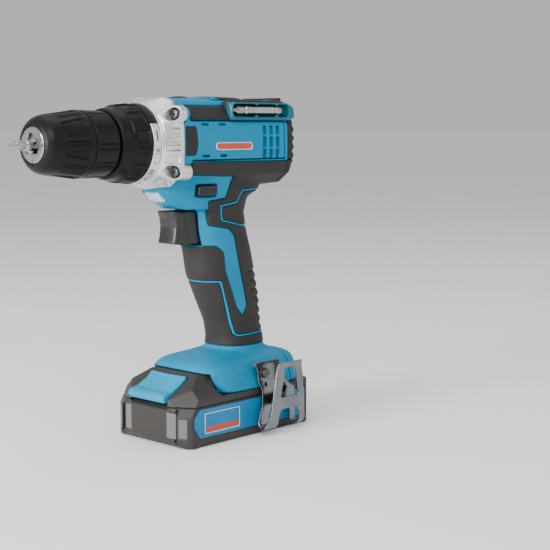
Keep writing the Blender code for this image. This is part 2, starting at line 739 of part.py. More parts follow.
def build_spare_bit():
    corner = BIT_FLATS / math.sqrt(3)
    stations = ((-11.5, 0.3), (-7.0, 0.72), (-1.5, 0.75), (0.5, 0.98), (25.5, 0.98), (27.5, 0.75),
                (33.0, 0.72), (37.5, 0.3))
    return stack("spare_bit", [hexagon(x, corner * s, SPARE_BIT_AT) for x, s in stations])


# ---- controls -----------------------------------------------------------------------------------


def build_trigger():
    outline = [(-24.0, 128.2), (-40.0, 128.6), (-45.5, 129.6), (-44.6, 134), (-44.0, 140), (-44.9, 146),
               (-47.0, 150.6), (-24.0, 150.8)]
    trigger = prism("trigger", outline, -9.0, 9.0)
    trigger.data.update()
    edge = trigger.modifiers.new("Soft edges", "BEVEL")
    edge.width = 1.6 * MM
    edge.segments = 2
    edge.limit_method = "ANGLE"
    edge.angle_limit = math.radians(60)
    return trigger


def build_knob():
    outline = [(-41.0, AXIS_Z + 29.4), (-41.0, AXIS_Z + 30.6), (-38.0, AXIS_Z + 31.6),
               (-29.0, AXIS_Z + 31.6), (-26.0, AXIS_Z + 30.6), (-26.0, AXIS_Z + 29.4)]
    return prism("speed_selector", outline, -7.0, 7.0)


# ---- battery ------------------------------------------------------------------------------------


def slope(distance, lift):
    """A point on the battery's sloping front, as x and z."""
    run = Vector((SLOPE_HEAD[0] - SLOPE_FOOT[0], SLOPE_HEAD[1] - SLOPE_FOOT[1])).normalized()
    return (SLOPE_FOOT[0] + run.x * distance - run.y * lift, SLOPE_FOOT[1] + run.y * distance + run.x * lift)


def button_room():
    deep = -3.3 - BUTTON_TRAVEL
    outline = [slope(-3.0, 6), slope(25.2, 6), slope(25.2, deep), slope(-3.0, deep)]
    return prism("button_room", outline, -15.4, 15.4)


def plan_corners(low, high):
    """Trims the battery's upright corners."""
    made = []
    for sy in (-1, 1):
        front = [(BATTERY_FRONT - 1.5, sy * 24.7), (BATTERY_FRONT - 1.5, sy * 37), (-56.0, sy * 37)]
        rear = [(BATTERY_X + 1, sy * (BATTERY_Y - 5)), (BATTERY_X + 1, sy * (BATTERY_Y + 1)),
                (BATTERY_X - 6, sy * (BATTERY_Y + 1))]
        made += [prism("corner", front, low, high, "Z"), prism("corner", rear, low, high, "Z")]
    return made


def build_battery_case():
    outline = [(BATTERY_FRONT, 4.0), (BATTERY_FRONT + 3.6, 0), (BATTERY_X - 1.2, 0), (BATTERY_X, 1.2),
               (BATTERY_X, SEAM_Z), (BATTERY_FRONT, SEAM_Z)]
    case = prism("battery_case", outline, -BATTERY_Y, BATTERY_Y)
    cut(case, *plan_corners(-1, 30))
    cut(case, button_room())
    return cut(case, block("cell_room", (-46.2, 46.2), (-33, 33), (2.4, 40)))


def build_battery_top():
    low = SEAM_Z + GAP
    outline = [(BATTERY_FRONT, low), (BATTERY_X, low), (BATTERY_X, DECK_Z), (-28.6, DECK_Z),
               (-37.4, SLOPE_HEAD[1]), SLOPE_HEAD, SLOPE_FOOT]
    top = prism("battery_top", outline, -BATTERY_Y, BATTERY_Y)
    cut(top, *plan_corners(20, 60))
    join(top, block("tower", (-38.3, 46.4), (-27.0, 27.0), (29.0, 43.7)))
    for sign in (-1, 1):
        outline = [(sign * 36.5, 30.4), (sign * 21.5, 45.0), (sign * 60, 45.0), (sign * 60, 30.4)]
        cut(top, prism("shoulder", outline, -70, -28.1, "X"))
        near, far = sorted((sign * 24.0, sign * 29.0))
        cut(top, block("groove", (-19.6, 60), (near, far), (RAIL_Z[0] - GAP, RAIL_Z[1] + GAP)))
    return cut(top, button_room())


def build_cells():
    outline_top, outline_low = [], []
    half = math.acos(CELL_PITCH / 2 / CELL_R)
    for cell in range(5):
        x = (cell - 2) * CELL_PITCH
        first = math.pi if cell == 0 else math.pi - half
        last = 0.0 if cell == 4 else half
        for step in range(7):
            turn = first + (last - first) * step / 6
            outline_top.append((x + CELL_R * math.cos(turn), 11.9 + CELL_R * math.sin(turn)))
            outline_low.append((x + CELL_R * math.cos(turn), 11.9 - CELL_R * math.sin(turn)))
    outline = list(dict.fromkeys(outline_top + outline_low[::-1]))
    keepers = [outline[0]]
    for point in outline[1:]:
        if math.dist(point, keepers[-1]) > 0.01 and math.dist(point, keepers[0]) > 0.01:
            keepers.append(point)
    return prism("battery_cells", keepers, -32.5, 32.5)


def build_release_button():
    outline = [slope(-2.2, -0.6), slope(-1.4, 1.2), slope(1.0, 1.9), slope(5.0, 1.4), slope(24.4, 1.4),
               slope(24.8, 0.4), slope(24.8, -3), slope(-1.4, -3)]
    button = prism("release_button", outline, -15.0, 15.0)
    for rib in range(5):
        at = 6.0 + 3.6 * rib
        groove = [slope(at, 3), slope(at, 0.5), slope(at + 1.2, 0.5), slope(at + 1.2, 3)]
        cut(button, prism("rib", groove, -11, 11))
    return button


# ---- assembly -----------------------------------------------------------------------------------


def place(pieces, looks, at, name, parent=None):
    """Hangs a body's pieces from an empty at its joint, with their own origins there too."""
    frame = bpy.data.objects.new(name + "_frame", None)
    bpy.context.scene.collection.objects.link(frame)
    frame.parent = parent
    home = Vector(at) * MM
    parent_home = Vector(parent["home"]) if parent else Vector()
    frame["home"] = tuple(home)
    frame.location = home - parent_home
    for piece in pieces:
        piece.data.transform(Matrix.Translation(-home))
        piece.parent = frame
        piece.data.materials.clear()
        piece.data.materials.append(material(piece.name, looks[piece.name]))
    return frame


def shade(obj):
    """Smooth shading, with edges over 30 degrees kept sharp."""
    work = bmesh.new()
    work.from_mesh(obj.data)
    bmesh.ops.remove_doubles(work, verts=work.verts, dist=1e-7)
    for face in work.faces:
        face.smooth = True
    for edge in work.edges:
        edge.smooth = len(edge.link_faces) == 2 and edge.calc_face_angle(0) < math.radians(30)
    work.to_mesh(obj.data)
    work.free()


def paint(pieces, look):
    return {piece.name: look for piece in pieces}


def main():
    clear_scene()
    axis = (0, 0, AXIS_Z)

    shells = build_housing()
    grips = build_grips()
    trims = [build_rear_cap(), build_top_cover()]
    screws = build_case_screws() + build_housing_screws() + [build_clip_screw()]
    metal = [build_belt_clip()]
    motor = build_motor()
    ring_1 = ring_gear("ring_gear_1", (-47.0, -41.0), 20.0)
    bearing = tube("spindle_bearing", (-94.6, -88.0), 11.0, 6.3)
    switch_body = block("switch_body", (-16.4, -3.0), (-8.0, 8.0), (129.0, 149.0))
    terminals = block("terminal_block", (6.4, 29.6), (-12.0, 12.0), (44.6, 52.5))
    holder, case, lens = build_bit_holder(), build_gear_case(), build_lens()
    clutch_nut, spring = build_clutch()
    looks = {**paint(shells, "shell"), **paint(grips, "grip"), **paint(trims, "grip"),
             **paint(screws, "dark_steel"), **paint(metal, "steel"), **paint(motor, "dark_steel"),
             "ring_gear_1": "dark_steel", "spindle_bearing": "steel", "switch_body": "black",
             "terminal_block": "black", "bit_holder": "teal", "gear_case": "silver", "led_lens": "lens",
             "clutch_spring": "steel"}
    fixed = [*shells, *grips, *trims, *screws, *metal, *motor, ring_1, bearing, switch_body, terminals,
             holder, case, lens, spring]
    root = place(fixed, looks, (0, 0, 0), "housing")

    body = build_chuck_body()
    sleeve, nut, rear_sleeve = build_sleeves()
    spindle = build_spindle()
    turning = [spindle, body, rear_sleeve]
    spindle_frame = place(turning, {"spindle": "steel", "chuck_body": "steel", "chuck_rear_sleeve": "black"},
                          axis, "spindle", root)
    place([sleeve, nut], {"chuck_sleeve": "black", "chuck_nut": "steel"}, axis, "chuck_sleeve",
          spindle_frame)
    for number, (jaw, turn) in enumerate(zip(build_jaws(), JAW_ANGLES), 1):
        place([jaw], {jaw.name: "dark_steel"}, jaw_line(turn, 0), f"jaw_{number}", spindle_frame)
    place([build_bit()], {"driver_bit": "steel"}, (BIT_X[0], 0, AXIS_Z), "driver_bit", spindle_frame)
    for turn in PLANET_ANGLES:
        planet = build_planet(2, turn, STAGE_2_X)
        y, z = planet_centre(turn)
        place([planet], {planet.name: "steel"}, (STAGE_2_X[0], y, z), planet.name, spindle_frame)

    carrier_frame = place([build_carrier()], {"carrier_1": "steel"}, axis, "carrier_1", root)
    for turn in PLANET_ANGLES:
        planet = build_planet(1, turn, STAGE_1_X)
        y, z = planet_centre(turn)
        place([planet], {planet.name: "steel"}, (STAGE_1_X[0], y, z), planet.name, carrier_frame)

    rotor = build_rotor()
    place(rotor, {**paint(rotor, "steel"), "armature": "copper", "cooling_fan": "black"}, axis, "rotor",
          root)

    ring_2 = ring_gear("ring_gear_2", (-59.4, -52.6), 19.6)
    place([build_knob(), ring_2], {"speed_selector": "black", "ring_gear_2": "dark_steel"}, axis,
          "selector", root)
    place([build_torque_collar(), build_number_ring()],
          {"torque_collar": "black", "number_ring": "silver"}, axis, "torque_collar", root)
    place([clutch_nut], {"clutch_nut": "steel"}, axis, "clutch_nut", root)
    place([build_trigger()], {"trigger": "black"}, (-45, 0, 140), "trigger", root)
    switch = block("direction_switch", (-35, -19), (-21.5, 21.5), (160.8, 167.2))
    place([switch], {"direction_switch": "black"}, (-27, 0, 164), "direction_switch", root)
    place([build_spare_bit()], {"spare_bit": "steel"}, (13.0, *SPARE_BIT_AT), "spare_bit", root)

    cells = build_cells()
    pack = [build_battery_case(), build_battery_top(), cells]
    battery_frame = place(pack, {"battery_case": "case", "battery_top": "case", "battery_cells": "cell"},
                          (0, 0, 0), "battery", root)
    place([build_release_button()], {"release_button": "shell"}, (-52, 0, 36), "release_button",
          battery_frame)

    for obj in bpy.data.objects:
        if obj.type == "MESH":
            shade(obj)


main()
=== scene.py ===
"""The looks of the cordless drill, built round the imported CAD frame.

Sizes in this script are millimetres until a mesh is made. Most shapes are distance fields on a
grid, negative inside, turned into a smooth closed mesh; round pieces are lathed with relief.
"""

import functools
import math
from itertools import product

import bmesh
import bpy
import numpy as np
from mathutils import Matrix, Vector


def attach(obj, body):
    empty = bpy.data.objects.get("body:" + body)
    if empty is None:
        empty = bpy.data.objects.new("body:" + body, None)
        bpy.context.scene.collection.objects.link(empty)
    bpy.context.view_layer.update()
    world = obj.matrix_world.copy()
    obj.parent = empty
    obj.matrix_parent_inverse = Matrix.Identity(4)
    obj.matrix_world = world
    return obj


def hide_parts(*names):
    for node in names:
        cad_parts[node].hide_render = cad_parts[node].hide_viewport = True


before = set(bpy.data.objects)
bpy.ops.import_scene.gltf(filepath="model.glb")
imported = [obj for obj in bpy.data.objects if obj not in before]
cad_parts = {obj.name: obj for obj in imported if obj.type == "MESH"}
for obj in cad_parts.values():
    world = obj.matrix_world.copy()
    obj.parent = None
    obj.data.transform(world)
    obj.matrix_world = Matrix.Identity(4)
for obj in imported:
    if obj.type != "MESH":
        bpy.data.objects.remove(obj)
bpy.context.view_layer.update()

MM = 0.001
AXIS_Z = 194.5  # height of the spindle, which lies along X
FLOAT = np.float32

# ---- distance fields ----


class Grid:
    """Evenly spaced points over a box, with x, y and z ready to broadcast."""

    def __init__(self, low, high, step):
        self.low, self.step = np.array(low, float), step
        axes = []
        for start, end in zip(low, high):
            axes.append((start + step * np.arange(int((end - start) / step) + 2)).astype(FLOAT))
        self.x, self.y, self.z = axes[0][:, None, None], axes[1][None, :, None], axes[2][None, None, :]
        self.shape = tuple(len(a) for a in axes)


def both(a, b, blend=0.0):
    """Where two shapes overlap, with the edge between them rounded over blend."""
    if not blend:
        return np.maximum(a, b)
    share = np.clip(0.5 + 0.5 * (a - b) / blend, 0, 1)
    return b + (a - b) * share + blend * share * (1 - share)


def either(a, b, blend=0.0):
    return -both(-a, -b, blend)


def without(a, b, blend=0.0):
    return both(a, -b, blend)


def slab(t, low, high):
    return np.abs(t - (low + high) / 2) - (high - low) / 2


def near(t, at, half):
    return slab(t, at - half, at + half)


def rect(u, low_u, high_u, v, low_v, high_v, blend=0.0):
    """A rectangle across two axes."""
    return both(slab(u, low_u, high_u), slab(v, low_v, high_v), blend)


def disc(u, v, centre, radius):
    return np.sqrt((u - centre[0]) ** 2 + (v - centre[1]) ** 2) - radius


def cut(a, blend, *shapes):
    """a without the place where all the shapes overlap."""
    return without(a, functools.reduce(np.maximum, shapes), blend)


def oblong(low_u, high_u, low_v, high_v):
    """A rectangle's outline."""
    return [(low_u, low_v), (high_u, low_v), (high_u, high_v), (low_u, high_v)]


def wave(t, period):
    return np.cos(2 * math.pi * t / period)


def inset(outline, gap):
    """An anticlockwise outline with every side moved inwards."""
    moved = []
    for i, here in enumerate(outline):
        before, after = Vector(outline[i - 1]), Vector(outline[(i + 1) % len(outline)])
        into, out = (Vector(here) - before).normalized(), (after - Vector(here)).normalized()
        normal_in, normal_out = Vector((-into.y, into.x)), Vector((-out.y, out.x))
        corner = normal_in + normal_out
        moved.append(tuple(Vector(here) + corner * gap / (1 + normal_in.dot(normal_out))))
    return moved


def anticlockwise(outline):
    area = sum(a[0] * b[1] - b[0] * a[1] for a, b in zip(outline, outline[1:] + outline[:1]))
    return outline if area > 0 else outline[::-1]


def beside(u, v, start, end):
    """Squared distance to a straight line, and whether a point is on the line's left."""
    ex, ey, wx, wy = end[0] - start[0], end[1] - start[1], u - start[0], v - start[1]
    t = np.clip((wx * ex + wy * ey) / (ex * ex + ey * ey), 0, 1)
    return (wx - ex * t) ** 2 + (wy - ey * t) ** 2, ex * wy > ey * wx


def polygon(u, v, outline, corner=0.0):
    """Distance to an outline of (u, v) points, with its corners rounded."""
    outline = anticlockwise(list(outline))
    if corner:
        outline = inset(outline, corner)
    u, v = np.broadcast_arrays(u, v)
    best, sign = np.inf, np.ones(u.shape, FLOAT)
    for start, end in zip(outline, outline[1:] + outline[:1]):
        square, left = beside(u, v, start, end)
        best = np.minimum(best, square)
        above, below = v >= start[1], v < end[1]
        sign = np.where((above & below & left) | (~above & ~below & ~left), -sign, sign)
    return (sign * np.sqrt(best) - corner).astype(FLOAT)


def polyline(u, v, points):
    """Distance to an open run of straight lines."""
    u, v = np.broadcast_arrays(u, v)
    squares = [beside(u, v, start, end)[0] for start, end in zip(points, points[1:])]
    return np.sqrt(functools.reduce(np.minimum, squares)).astype(FLOAT)


def sections(u, v, centre, half_u, half_v, power):
    """Distance to rounded rectangles whose sizes change along the third axis."""
    a, b = np.abs(u - centre) / half_u, np.abs(v) / half_v
    level = (a**power + b**power + 1e-6) ** (1 / power)
    slope = level ** (1 - power) * np.hypot(a ** (power - 1) / half_u, b ** (power - 1) / half_v)
    return ((level - 1) / np.maximum(slope, 0.35 / np.maximum(half_u, half_v))).astype(FLOAT)


def along(table, t, spread=0.0):
    """Columns of a table read at t, optionally eased over spread."""
    table = sorted(table)
    keys = [row[0] for row in table]
    made = []
    for column in range(1, len(table[0])):
        values = [row[column] for row in table]
        offsets = np.linspace(-spread, spread, 7) if spread else [0.0]
        made.append(sum(np.interp(t + o, keys, values) for o in offsets).astype(FLOAT) / len(offsets))
    return made


# ---- meshes ----


def place(name, data):
    made = bpy.data.objects.new(name, data)
    bpy.context.scene.collection.objects.link(made)
    return made


def new_object(name, points, faces, smooth=True):
    """A mesh object from millimetre points."""
    mesh = bpy.data.meshes.new(name)
    points = np.asarray(points, float) * MM
    if isinstance(faces, np.ndarray):
        mesh.vertices.add(len(points))
        mesh.vertices.foreach_set("co", points.astype(FLOAT).ravel())
        mesh.loops.add(faces.size)
        mesh.loops.foreach_set("vertex_index", faces.astype(np.int32).ravel())
        mesh.polygons.add(len(faces))
        mesh.polygons.foreach_set("loop_start", np.arange(len(faces), dtype=np.int32) * faces.shape[1])
        mesh.update(calc_edges=True)
    else:
        mesh.from_pydata(points.tolist(), [], faces)
    if smooth:
        mesh.polygons.foreach_set("use_smooth", np.ones(len(mesh.polygons), bool))
    return place(name, mesh)


def sampled(field, at):
    """The field and its slope at points given in cells."""
    base = np.clip(np.floor(at).astype(int), 0, np.array(field.shape) - 2)
    t = at - base
    value, slope = np.zeros(len(at)), np.zeros((len(at), 3))
    for corner in product((0, 1), repeat=3):
        f = field[tuple((base + corner).T)]
        share = np.where(corner, t, 1 - t)
        value += f * share[:, 0] * share[:, 1] * share[:, 2]
        for axis, (j, k) in enumerate(((1, 2), (0, 2), (0, 1))):
            slope[:, axis] += f * (2 * corner[axis] - 1) * share[:, j] * share[:, k]
    return value, slope


def surface(name, grid, field, rounds=2):
    """One quad mesh where the field crosses zero, eased and then drawn back onto the surface."""
    field = np.ascontiguousarray(np.broadcast_to(field, grid.shape), FLOAT)
    inside = field < 0
    nx, ny, nz = grid.shape
    count = np.zeros((nx - 1, ny - 1, nz - 1), np.int8)
    for i, j, k in product((0, 1), repeat=3):
        count += inside[i : nx - 1 + i, j : ny - 1 + j, k : nz - 1 + k]
    active = (count > 0) & (count < 8)
    cells = np.argwhere(active)
    number = np.full(active.shape, -1, np.int32)
    number[active] = np.arange(len(cells))
    total, hits = np.zeros((len(cells), 3)), np.zeros(len(cells))
    for axis, u, v in product(range(3), (0, 1), (0, 1)):
        start, end = np.insert([u, v], axis, 0), np.insert([u, v], axis, 1)
        a, b = field[tuple((cells + start).T)], field[tuple((cells + end).T)]
        crosses = (a < 0) != (b < 0)
        t = np.where(crosses, a / np.where(crosses, a - b, 1), 0)
        total += np.where(crosses[:, None], start + (end - start) * t[:, None], 0)
        hits += crosses
    at = cells + total / hits[:, None]
    faces = []
    for axis in range(3):
        others = [k for k in range(3) if k != axis]
        low, high = [slice(None)] * 3, [slice(None)] * 3
        low[axis], high[axis] = slice(0, -1), slice(1, None)
        for k in others:
            low[k] = high[k] = slice(1, -1)
        a, b = inside[tuple(low)], inside[tuple(high)]
        edges = np.argwhere(a != b)
        step_u, step_v = np.eye(3, dtype=int)[others]
        base = edges + step_u + step_v
        corners = [base - step_u - step_v, base - step_v, base, base - step_u]
        quad = np.stack([number[tuple(c.T)] for c in corners], 1)
        flip = a[tuple(edges.T)] == (axis == 1)
        quad[flip] = quad[flip][:, ::-1]
        faces.append(quad)
    faces = np.concatenate(faces)
    for _ in range(rounds):
        total, hits = np.zeros_like(at), np.zeros(len(at))
        for here, there in ((0, 1), (1, 2), (2, 3), (3, 0)):
            np.add.at(total, faces[:, here], at[faces[:, there]])
            np.add.at(total, faces[:, there], at[faces[:, here]])
            np.add.at(hits, faces[:, here], 1)
            np.add.at(hits, faces[:, there], 1)
        at = 0.35 * at + 0.65 * total / hits[:, None]
        value, slope = sampled(field, at)
        steep = np.maximum((slope**2).sum(1), 0.04 * grid.step**2)
        move = -value[:, None] * slope / steep[:, None]
        at += np.clip(move, -0.4, 0.4)
    return new_object(name, grid.low + at * grid.step, faces)


def lathe(name, profile, segments=240, relief=None, centre=(0.0, AXIS_Z), low=0.0, high=360.0):
    """A closed (x, radius) profile turned about the spindle, or part of a turn.

    relief(x, angle, radius) gives each point's change of radius; the angle is in degrees above -Y.
    """
    whole = high - low >= 360
    turns = np.radians(np.linspace(low, high, segments, endpoint=not whole))
    x, radius = np.array(profile, float).T
    X, A = np.meshgrid(x, turns, indexing="ij")
    R = np.repeat(radius[:, None], segments, 1)
    if relief is not None:
        R = R + relief(X, np.degrees(A), R)
    points = np.stack([X, centre[0] - R * np.cos(A), centre[1] + R * np.sin(A)], -1).reshape(-1, 3)
    i, j = np.meshgrid(np.arange(len(x)), np.arange(segments if whole else segments - 1), indexing="ij")
    i2, j2 = (i + 1) % len(x), (j + 1) % segments
    faces = np.stack([i * segments + j, i * segments + j2, i2 * segments + j2, i2 * segments + j], -1)
    made = new_object(name, points, faces.reshape(-1, 4))
    work = bmesh.new()
    work.from_mesh(made.data)
    bmesh.ops.remove_doubles(work, verts=work.verts, dist=1e-8)
    if not whole:
        bmesh.ops.holes_fill(work, edges=[e for e in work.edges if e.is_boundary])
    bmesh.ops.recalc_face_normals(work, faces=work.faces)
    for edge in work.edges:
        edge.smooth = len(edge.link_faces) == 2 and edge.calc_face_angle(0) < math.radians(38)
    work.to_mesh(made.data)
    work.free()
    return made


def dense(points, step=0.5):
    """An outline's points with more put between them."""
    made = []
    for (ax, ay), (bx, by) in zip(points, points[1:]):
        count = max(1, int(round(math.dist((ax, ay), (bx, by)) / step)))
        made += [(ax + (bx - ax) * k / count, ay + (by - ay) * k / count) for k in range(count)]
    return made + [points[-1]]


def soften(obj):
    """Rounds an object's sharp edges with a Bevel."""
    step = obj.modifiers.new("Soft edges", "BEVEL")
    step.width, step.segments, step.harden_normals = 0.3 * MM, 3, True
    step.limit_method, step.angle_limit = "ANGLE", math.radians(32)
    for face in obj.data.polygons:
        face.use_smooth = True


def bump(t, centre, half, edge):
    """1 within half of centre, easing to 0 over edge."""
    s = np.clip((half + edge - np.abs(t - centre)) / edge, 0, 1)
    return s * s * (3 - 2 * s)


def rise(t, start, end):
    s = np.clip((t - start) / (end - start), 0, 1)
    return s * s * (3 - 2 * s)


def wrapped(angle, period, centre=0.0):
    """An angle from the nearest of the evenly spaced centres."""
    return (angle - centre + period / 2) % period - period / 2


# ---- materials ----


class Look:
    """A Principled material with its node tree at hand."""

    def __init__(self, name, roughness=0.5, metallic=0.0, specular=0.5):
        self.material = bpy.data.materials.new(name)
        self.material.use_nodes = True
        self.tree = self.material.node_tree
        self.shader = self.tree.nodes["Principled BSDF"]
        values = {"Roughness": roughness, "Metallic": metallic, "Specular IOR Level": specular}
        self.set(self.shader, values)
        self.where = self.tree.nodes.new("ShaderNodeTexCoord").outputs["Object"]

    def set(self, node, values):
        for socket, value in values.items():
            node.inputs[socket].default_value = value

    def link(self, out, socket):
        self.tree.links.new(out, self.shader.inputs[socket])

    def node(self, kind, links, values, **settings):
        """The outputs of a new node whose inputs are linked to other outputs or set to values."""
        node = self.tree.nodes.new("ShaderNode" + kind)
        for name, setting in settings.items():
            setattr(node, name, setting)
        self.set(node, values)
        for socket, out in links.items():
            self.tree.links.new(out, node.inputs[socket])
        return node.outputs

    def stretched(self, scale):
        return self.node("Mapping", {"Vector": self.where}, {"Scale": scale})["Vector"]

    def noise(self, scale, detail=3.0, rough=0.55, at=None):
        values = {"Scale": scale, "Detail": detail, "Roughness": rough}
        return self.node("TexNoise", {"Vector": at or self.where}, values)["Fac"]

    def grain(self, scale, feature="F1"):
        made = self.node("TexVoronoi", {"Vector": self.where}, {"Scale": scale}, feature=feature)
        return made["Distance"]

    def range(self, value, low, high):
        """A noise's middle range, brought to lie between low and high."""
        values = {"From Min": 0.3, "From Max": 0.7, "To Min": low, "To Max": high}
        return self.node("MapRange", {"Value": value}, values)["Result"]

    def ramp(self, value, stops):
        node = self.tree.nodes.new("ShaderNodeValToRGB")
        elements = node.color_ramp.elements
        while len(elements) < len(stops):
            elements.new(0.5)
        for element, (at, colour) in zip(elements, stops):
            element.position, element.color = at, (*colour, 1)
        self.tree.links.new(value, node.inputs["Fac"])
        return node.outputs["Color"]

    def bumps(self, layers):
        """Bump from (height output, strength, distance in mm) layers."""
        links = {}
        for height, strength, distance in layers:
            values = {"Strength": strength, "Distance": distance * MM}
            links = {"Normal": self.node("Bump", {**links, "Height": height}, values)["Normal"]}
        self.link(links["Normal"], "Normal")
        return self


def shades(base, low, high):
    return [tuple(min(1.0, c * k) for c in base) for k in (low, high)]


def moulded(name, base, roughness=0.4, texture=0.35, scale=1400, vary=0.08, specular=0.4):
    """Injection-moulded plastic: fine spark texture, faint flow marks and handling marks."""
    look = Look(name, roughness, specular=specular)
    flow = look.noise(28, 4)
    dark, light = shades(base, 1 - vary, 1 + vary)
    look.link(look.ramp(flow, [(0.35, dark), (0.65, light)]), "Base Color")
    smudge = look.noise(75, 5, 0.65)
    look.link(look.range(smudge, roughness - 0.07, roughness + 0.1), "Roughness")
    return look.bumps([(look.noise(scale, 2), texture, 0.03), (flow, 0.12, 0.15)])


def rubber(name, base, roughness=0.62):
    """Soft overmould: a pebbled grain with small pits and a dusty sheen."""
    look = Look(name, roughness, specular=0.25)
    dust = look.noise(40, 5, 0.6)
    dark, light = shades(base, 0.86, 1.2)
    look.link(look.ramp(dust, [(0.3, dark), (0.72, light)]), "Base Color")
    look.link(look.range(dust, roughness - 0.06, roughness + 0.12), "Roughness")
    look.set(look.shader, {"Sheen Weight": 0.03, "Sheen Roughness": 0.5})
    pebbles = look.grain(1150, "SMOOTH_F1")
    return look.bumps([(pebbles, 0.35, 0.05), (look.noise(2600, 2), 0.25, 0.02)])


def cast(name, base, roughness=0.4, metallic=0.55):
    """Painted or blasted cast alloy."""
    look = Look(name, roughness, metallic)
    cloud = look.noise(30, 5, 0.6)
    dark, light = shades(base, 0.9, 1.07)
    look.link(look.ramp(cloud, [(0.3, dark), (0.7, light)]), "Base Color")
    look.link(look.range(look.noise(160, 4), roughness - 0.08, roughness + 0.12), "Roughness")
    return look.bumps([(look.noise(1500, 3), 0.3, 0.03), (look.noise(420, 2), 0.15, 0.05)])


def steel(name, base, roughness=0.24, scratch=(30, 900, 900), tint=None):
    """Turned or rolled steel with fine directional scratches and slight staining."""
    look = Look(name, roughness, 1.0)
    lines = look.noise(1.0, 5, 0.7, look.stretched(scratch))
    stain = look.noise(55, 4, 0.6)
    dark, light = shades(base, 0.78, 1.08)
    stops = [(0.3, dark), (0.62, light)]
    if tint:
        stops.append((0.78, tint))
    look.link(look.ramp(stain, stops), "Base Color")
    look.link(look.range(lines, roughness - 0.06, roughness + 0.16), "Roughness")
    return look.bumps([(lines, 0.18, 0.02), (stain, 0.08, 0.1)])


LOOKS = {
    "blue": moulded("body_blue", (0.0, 0.20, 0.355), 0.42, specular=0.12),
    "button": moulded("button_blue", (0.0, 0.25, 0.42), 0.4, specular=0.14),
    "label": moulded("label_blue", (0.0, 0.175, 0.37), 0.34, texture=0.1, specular=0.25),
    "rubber": rubber("soft_grip", (0.021, 0.019, 0.018)),
    "chuck": moulded("chuck_black", (0.006, 0.006, 0.0065), 0.36, texture=0.5, scale=1100, specular=0.16),
    "gloss": moulded("gloss_black", (0.014, 0.0135, 0.0135), 0.33, texture=0.12, specular=0.45),
    # a lighter grey for the battery's front corner faces: a painted highlight, not a different finish
    "painted_highlight_facet": moulded("battery_facet_painted_highlight", (0.13, 0.125, 0.12), 0.4, texture=0.4, scale=1000, specular=0.4),
    "case": moulded("battery_dark", (0.030, 0.027, 0.025), 0.42, texture=0.5, scale=1000, specular=0.32),
    "tray": moulded("tray_teal", (0.0, 0.11, 0.16), 0.34, specular=0.35),
    "silver": cast("gear_case_alloy", (0.66, 0.665, 0.67), 0.33, 0.85),
    "ring": cast("ring_silver", (0.72, 0.725, 0.73), 0.36, 0.7),
    "steel": steel("bright_steel", (0.37, 0.365, 0.34), 0.17),
    "turned": steel("turned_steel", (0.43, 0.425, 0.42), 0.24, (1600, 60, 60)),
    "clip": steel("clip_steel", (0.19, 0.20, 0.21), 0.17, (700, 700, 26), (0.15, 0.19, 0.24)),
    "dark_steel": steel("dark_steel", (0.22, 0.21, 0.20), 0.34, (900, 60, 60)),
    "black_screw": steel("screw_black", (0.12, 0.12, 0.125), 0.35, (60, 900, 900)),
    "copper": steel("winding_copper", (0.62, 0.27, 0.12), 0.34, (60, 1500, 1500)),
    "cell": moulded("cell_wrap", (0.02, 0.20, 0.14), 0.35),
    "white": moulded("white_print", (0.70, 0.72, 0.72), 0.4, texture=0.1, specular=0.3),
    "orange": moulded("orange_print", (0.55, 0.055, 0.02), 0.4, texture=0.1, specular=0.3),
    "ink": moulded("ink_print", (0.015, 0.015, 0.015), 0.5, texture=0.1, specular=0.2),
}


def lens_look():
    look = Look("lens_clear", 0.12, specular=0.6)
    cloud = look.noise(90, 2)
    look.link(look.ramp(cloud, [(0.2, (0.50, 0.66, 0.72)), (0.8, (0.74, 0.83, 0.86))]), "Base Color")
    look.set(look.shader, {"Transmission Weight": 0.35})
    look.bumps([(look.grain(420), 0.5, 0.15)])
    return look


LOOKS["lens"] = lens_look()


def paint(obj, look):
    obj.data.materials.clear()
    obj.data.materials.append(LOOKS[look].material)
    return obj


def finish(obj, look, body, *nodes, slot=None):
    """Colours a new piece, hangs it on its CAD body and hides the CAD nodes that it stands for."""
    paint(obj, look)
    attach(obj, body)
    if nodes:
        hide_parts(*nodes)
    return obj


# ---- chuck and clutch, lathed about the spindle ----

SCOOP_AT, SCOOPS = -17, 6
REAR_PAIR_AT, REAR_PAIRS = -4.2, 11
PANEL_AT, PANELS = 11.2, 11
RING_RADIUS, MARKS_RADIUS, MARKS_X = 25.4, 25.44, -73.95


def sleeve_relief(x, angle, radius):
    """Long arched scoops, with groups of four fine ribs between them."""
    off = wrapped(angle, 360 / SCOOPS, SCOOP_AT)
    reach = np.clip((x + 139.5) / 15.5, 0, 1)
    half = 8.5 * np.sqrt(reach)
    scoop = 1.25 * rise(half - np.abs(off), -1.2, 1.6) * rise(x, -139.5, -137.5) * rise(x, -121, -122.6)
    off = wrapped(angle, 360 / SCOOPS, SCOOP_AT + 28)
    band = rise(x, -139, -136.5) * rise(x, -120.8, -122.2)
    ribs = sum(bump(off, at, 0.9, 1.1) for at in (-11.5, -5.7, 5.7, 11.5))
    return -scoop - 0.55 * band * ribs


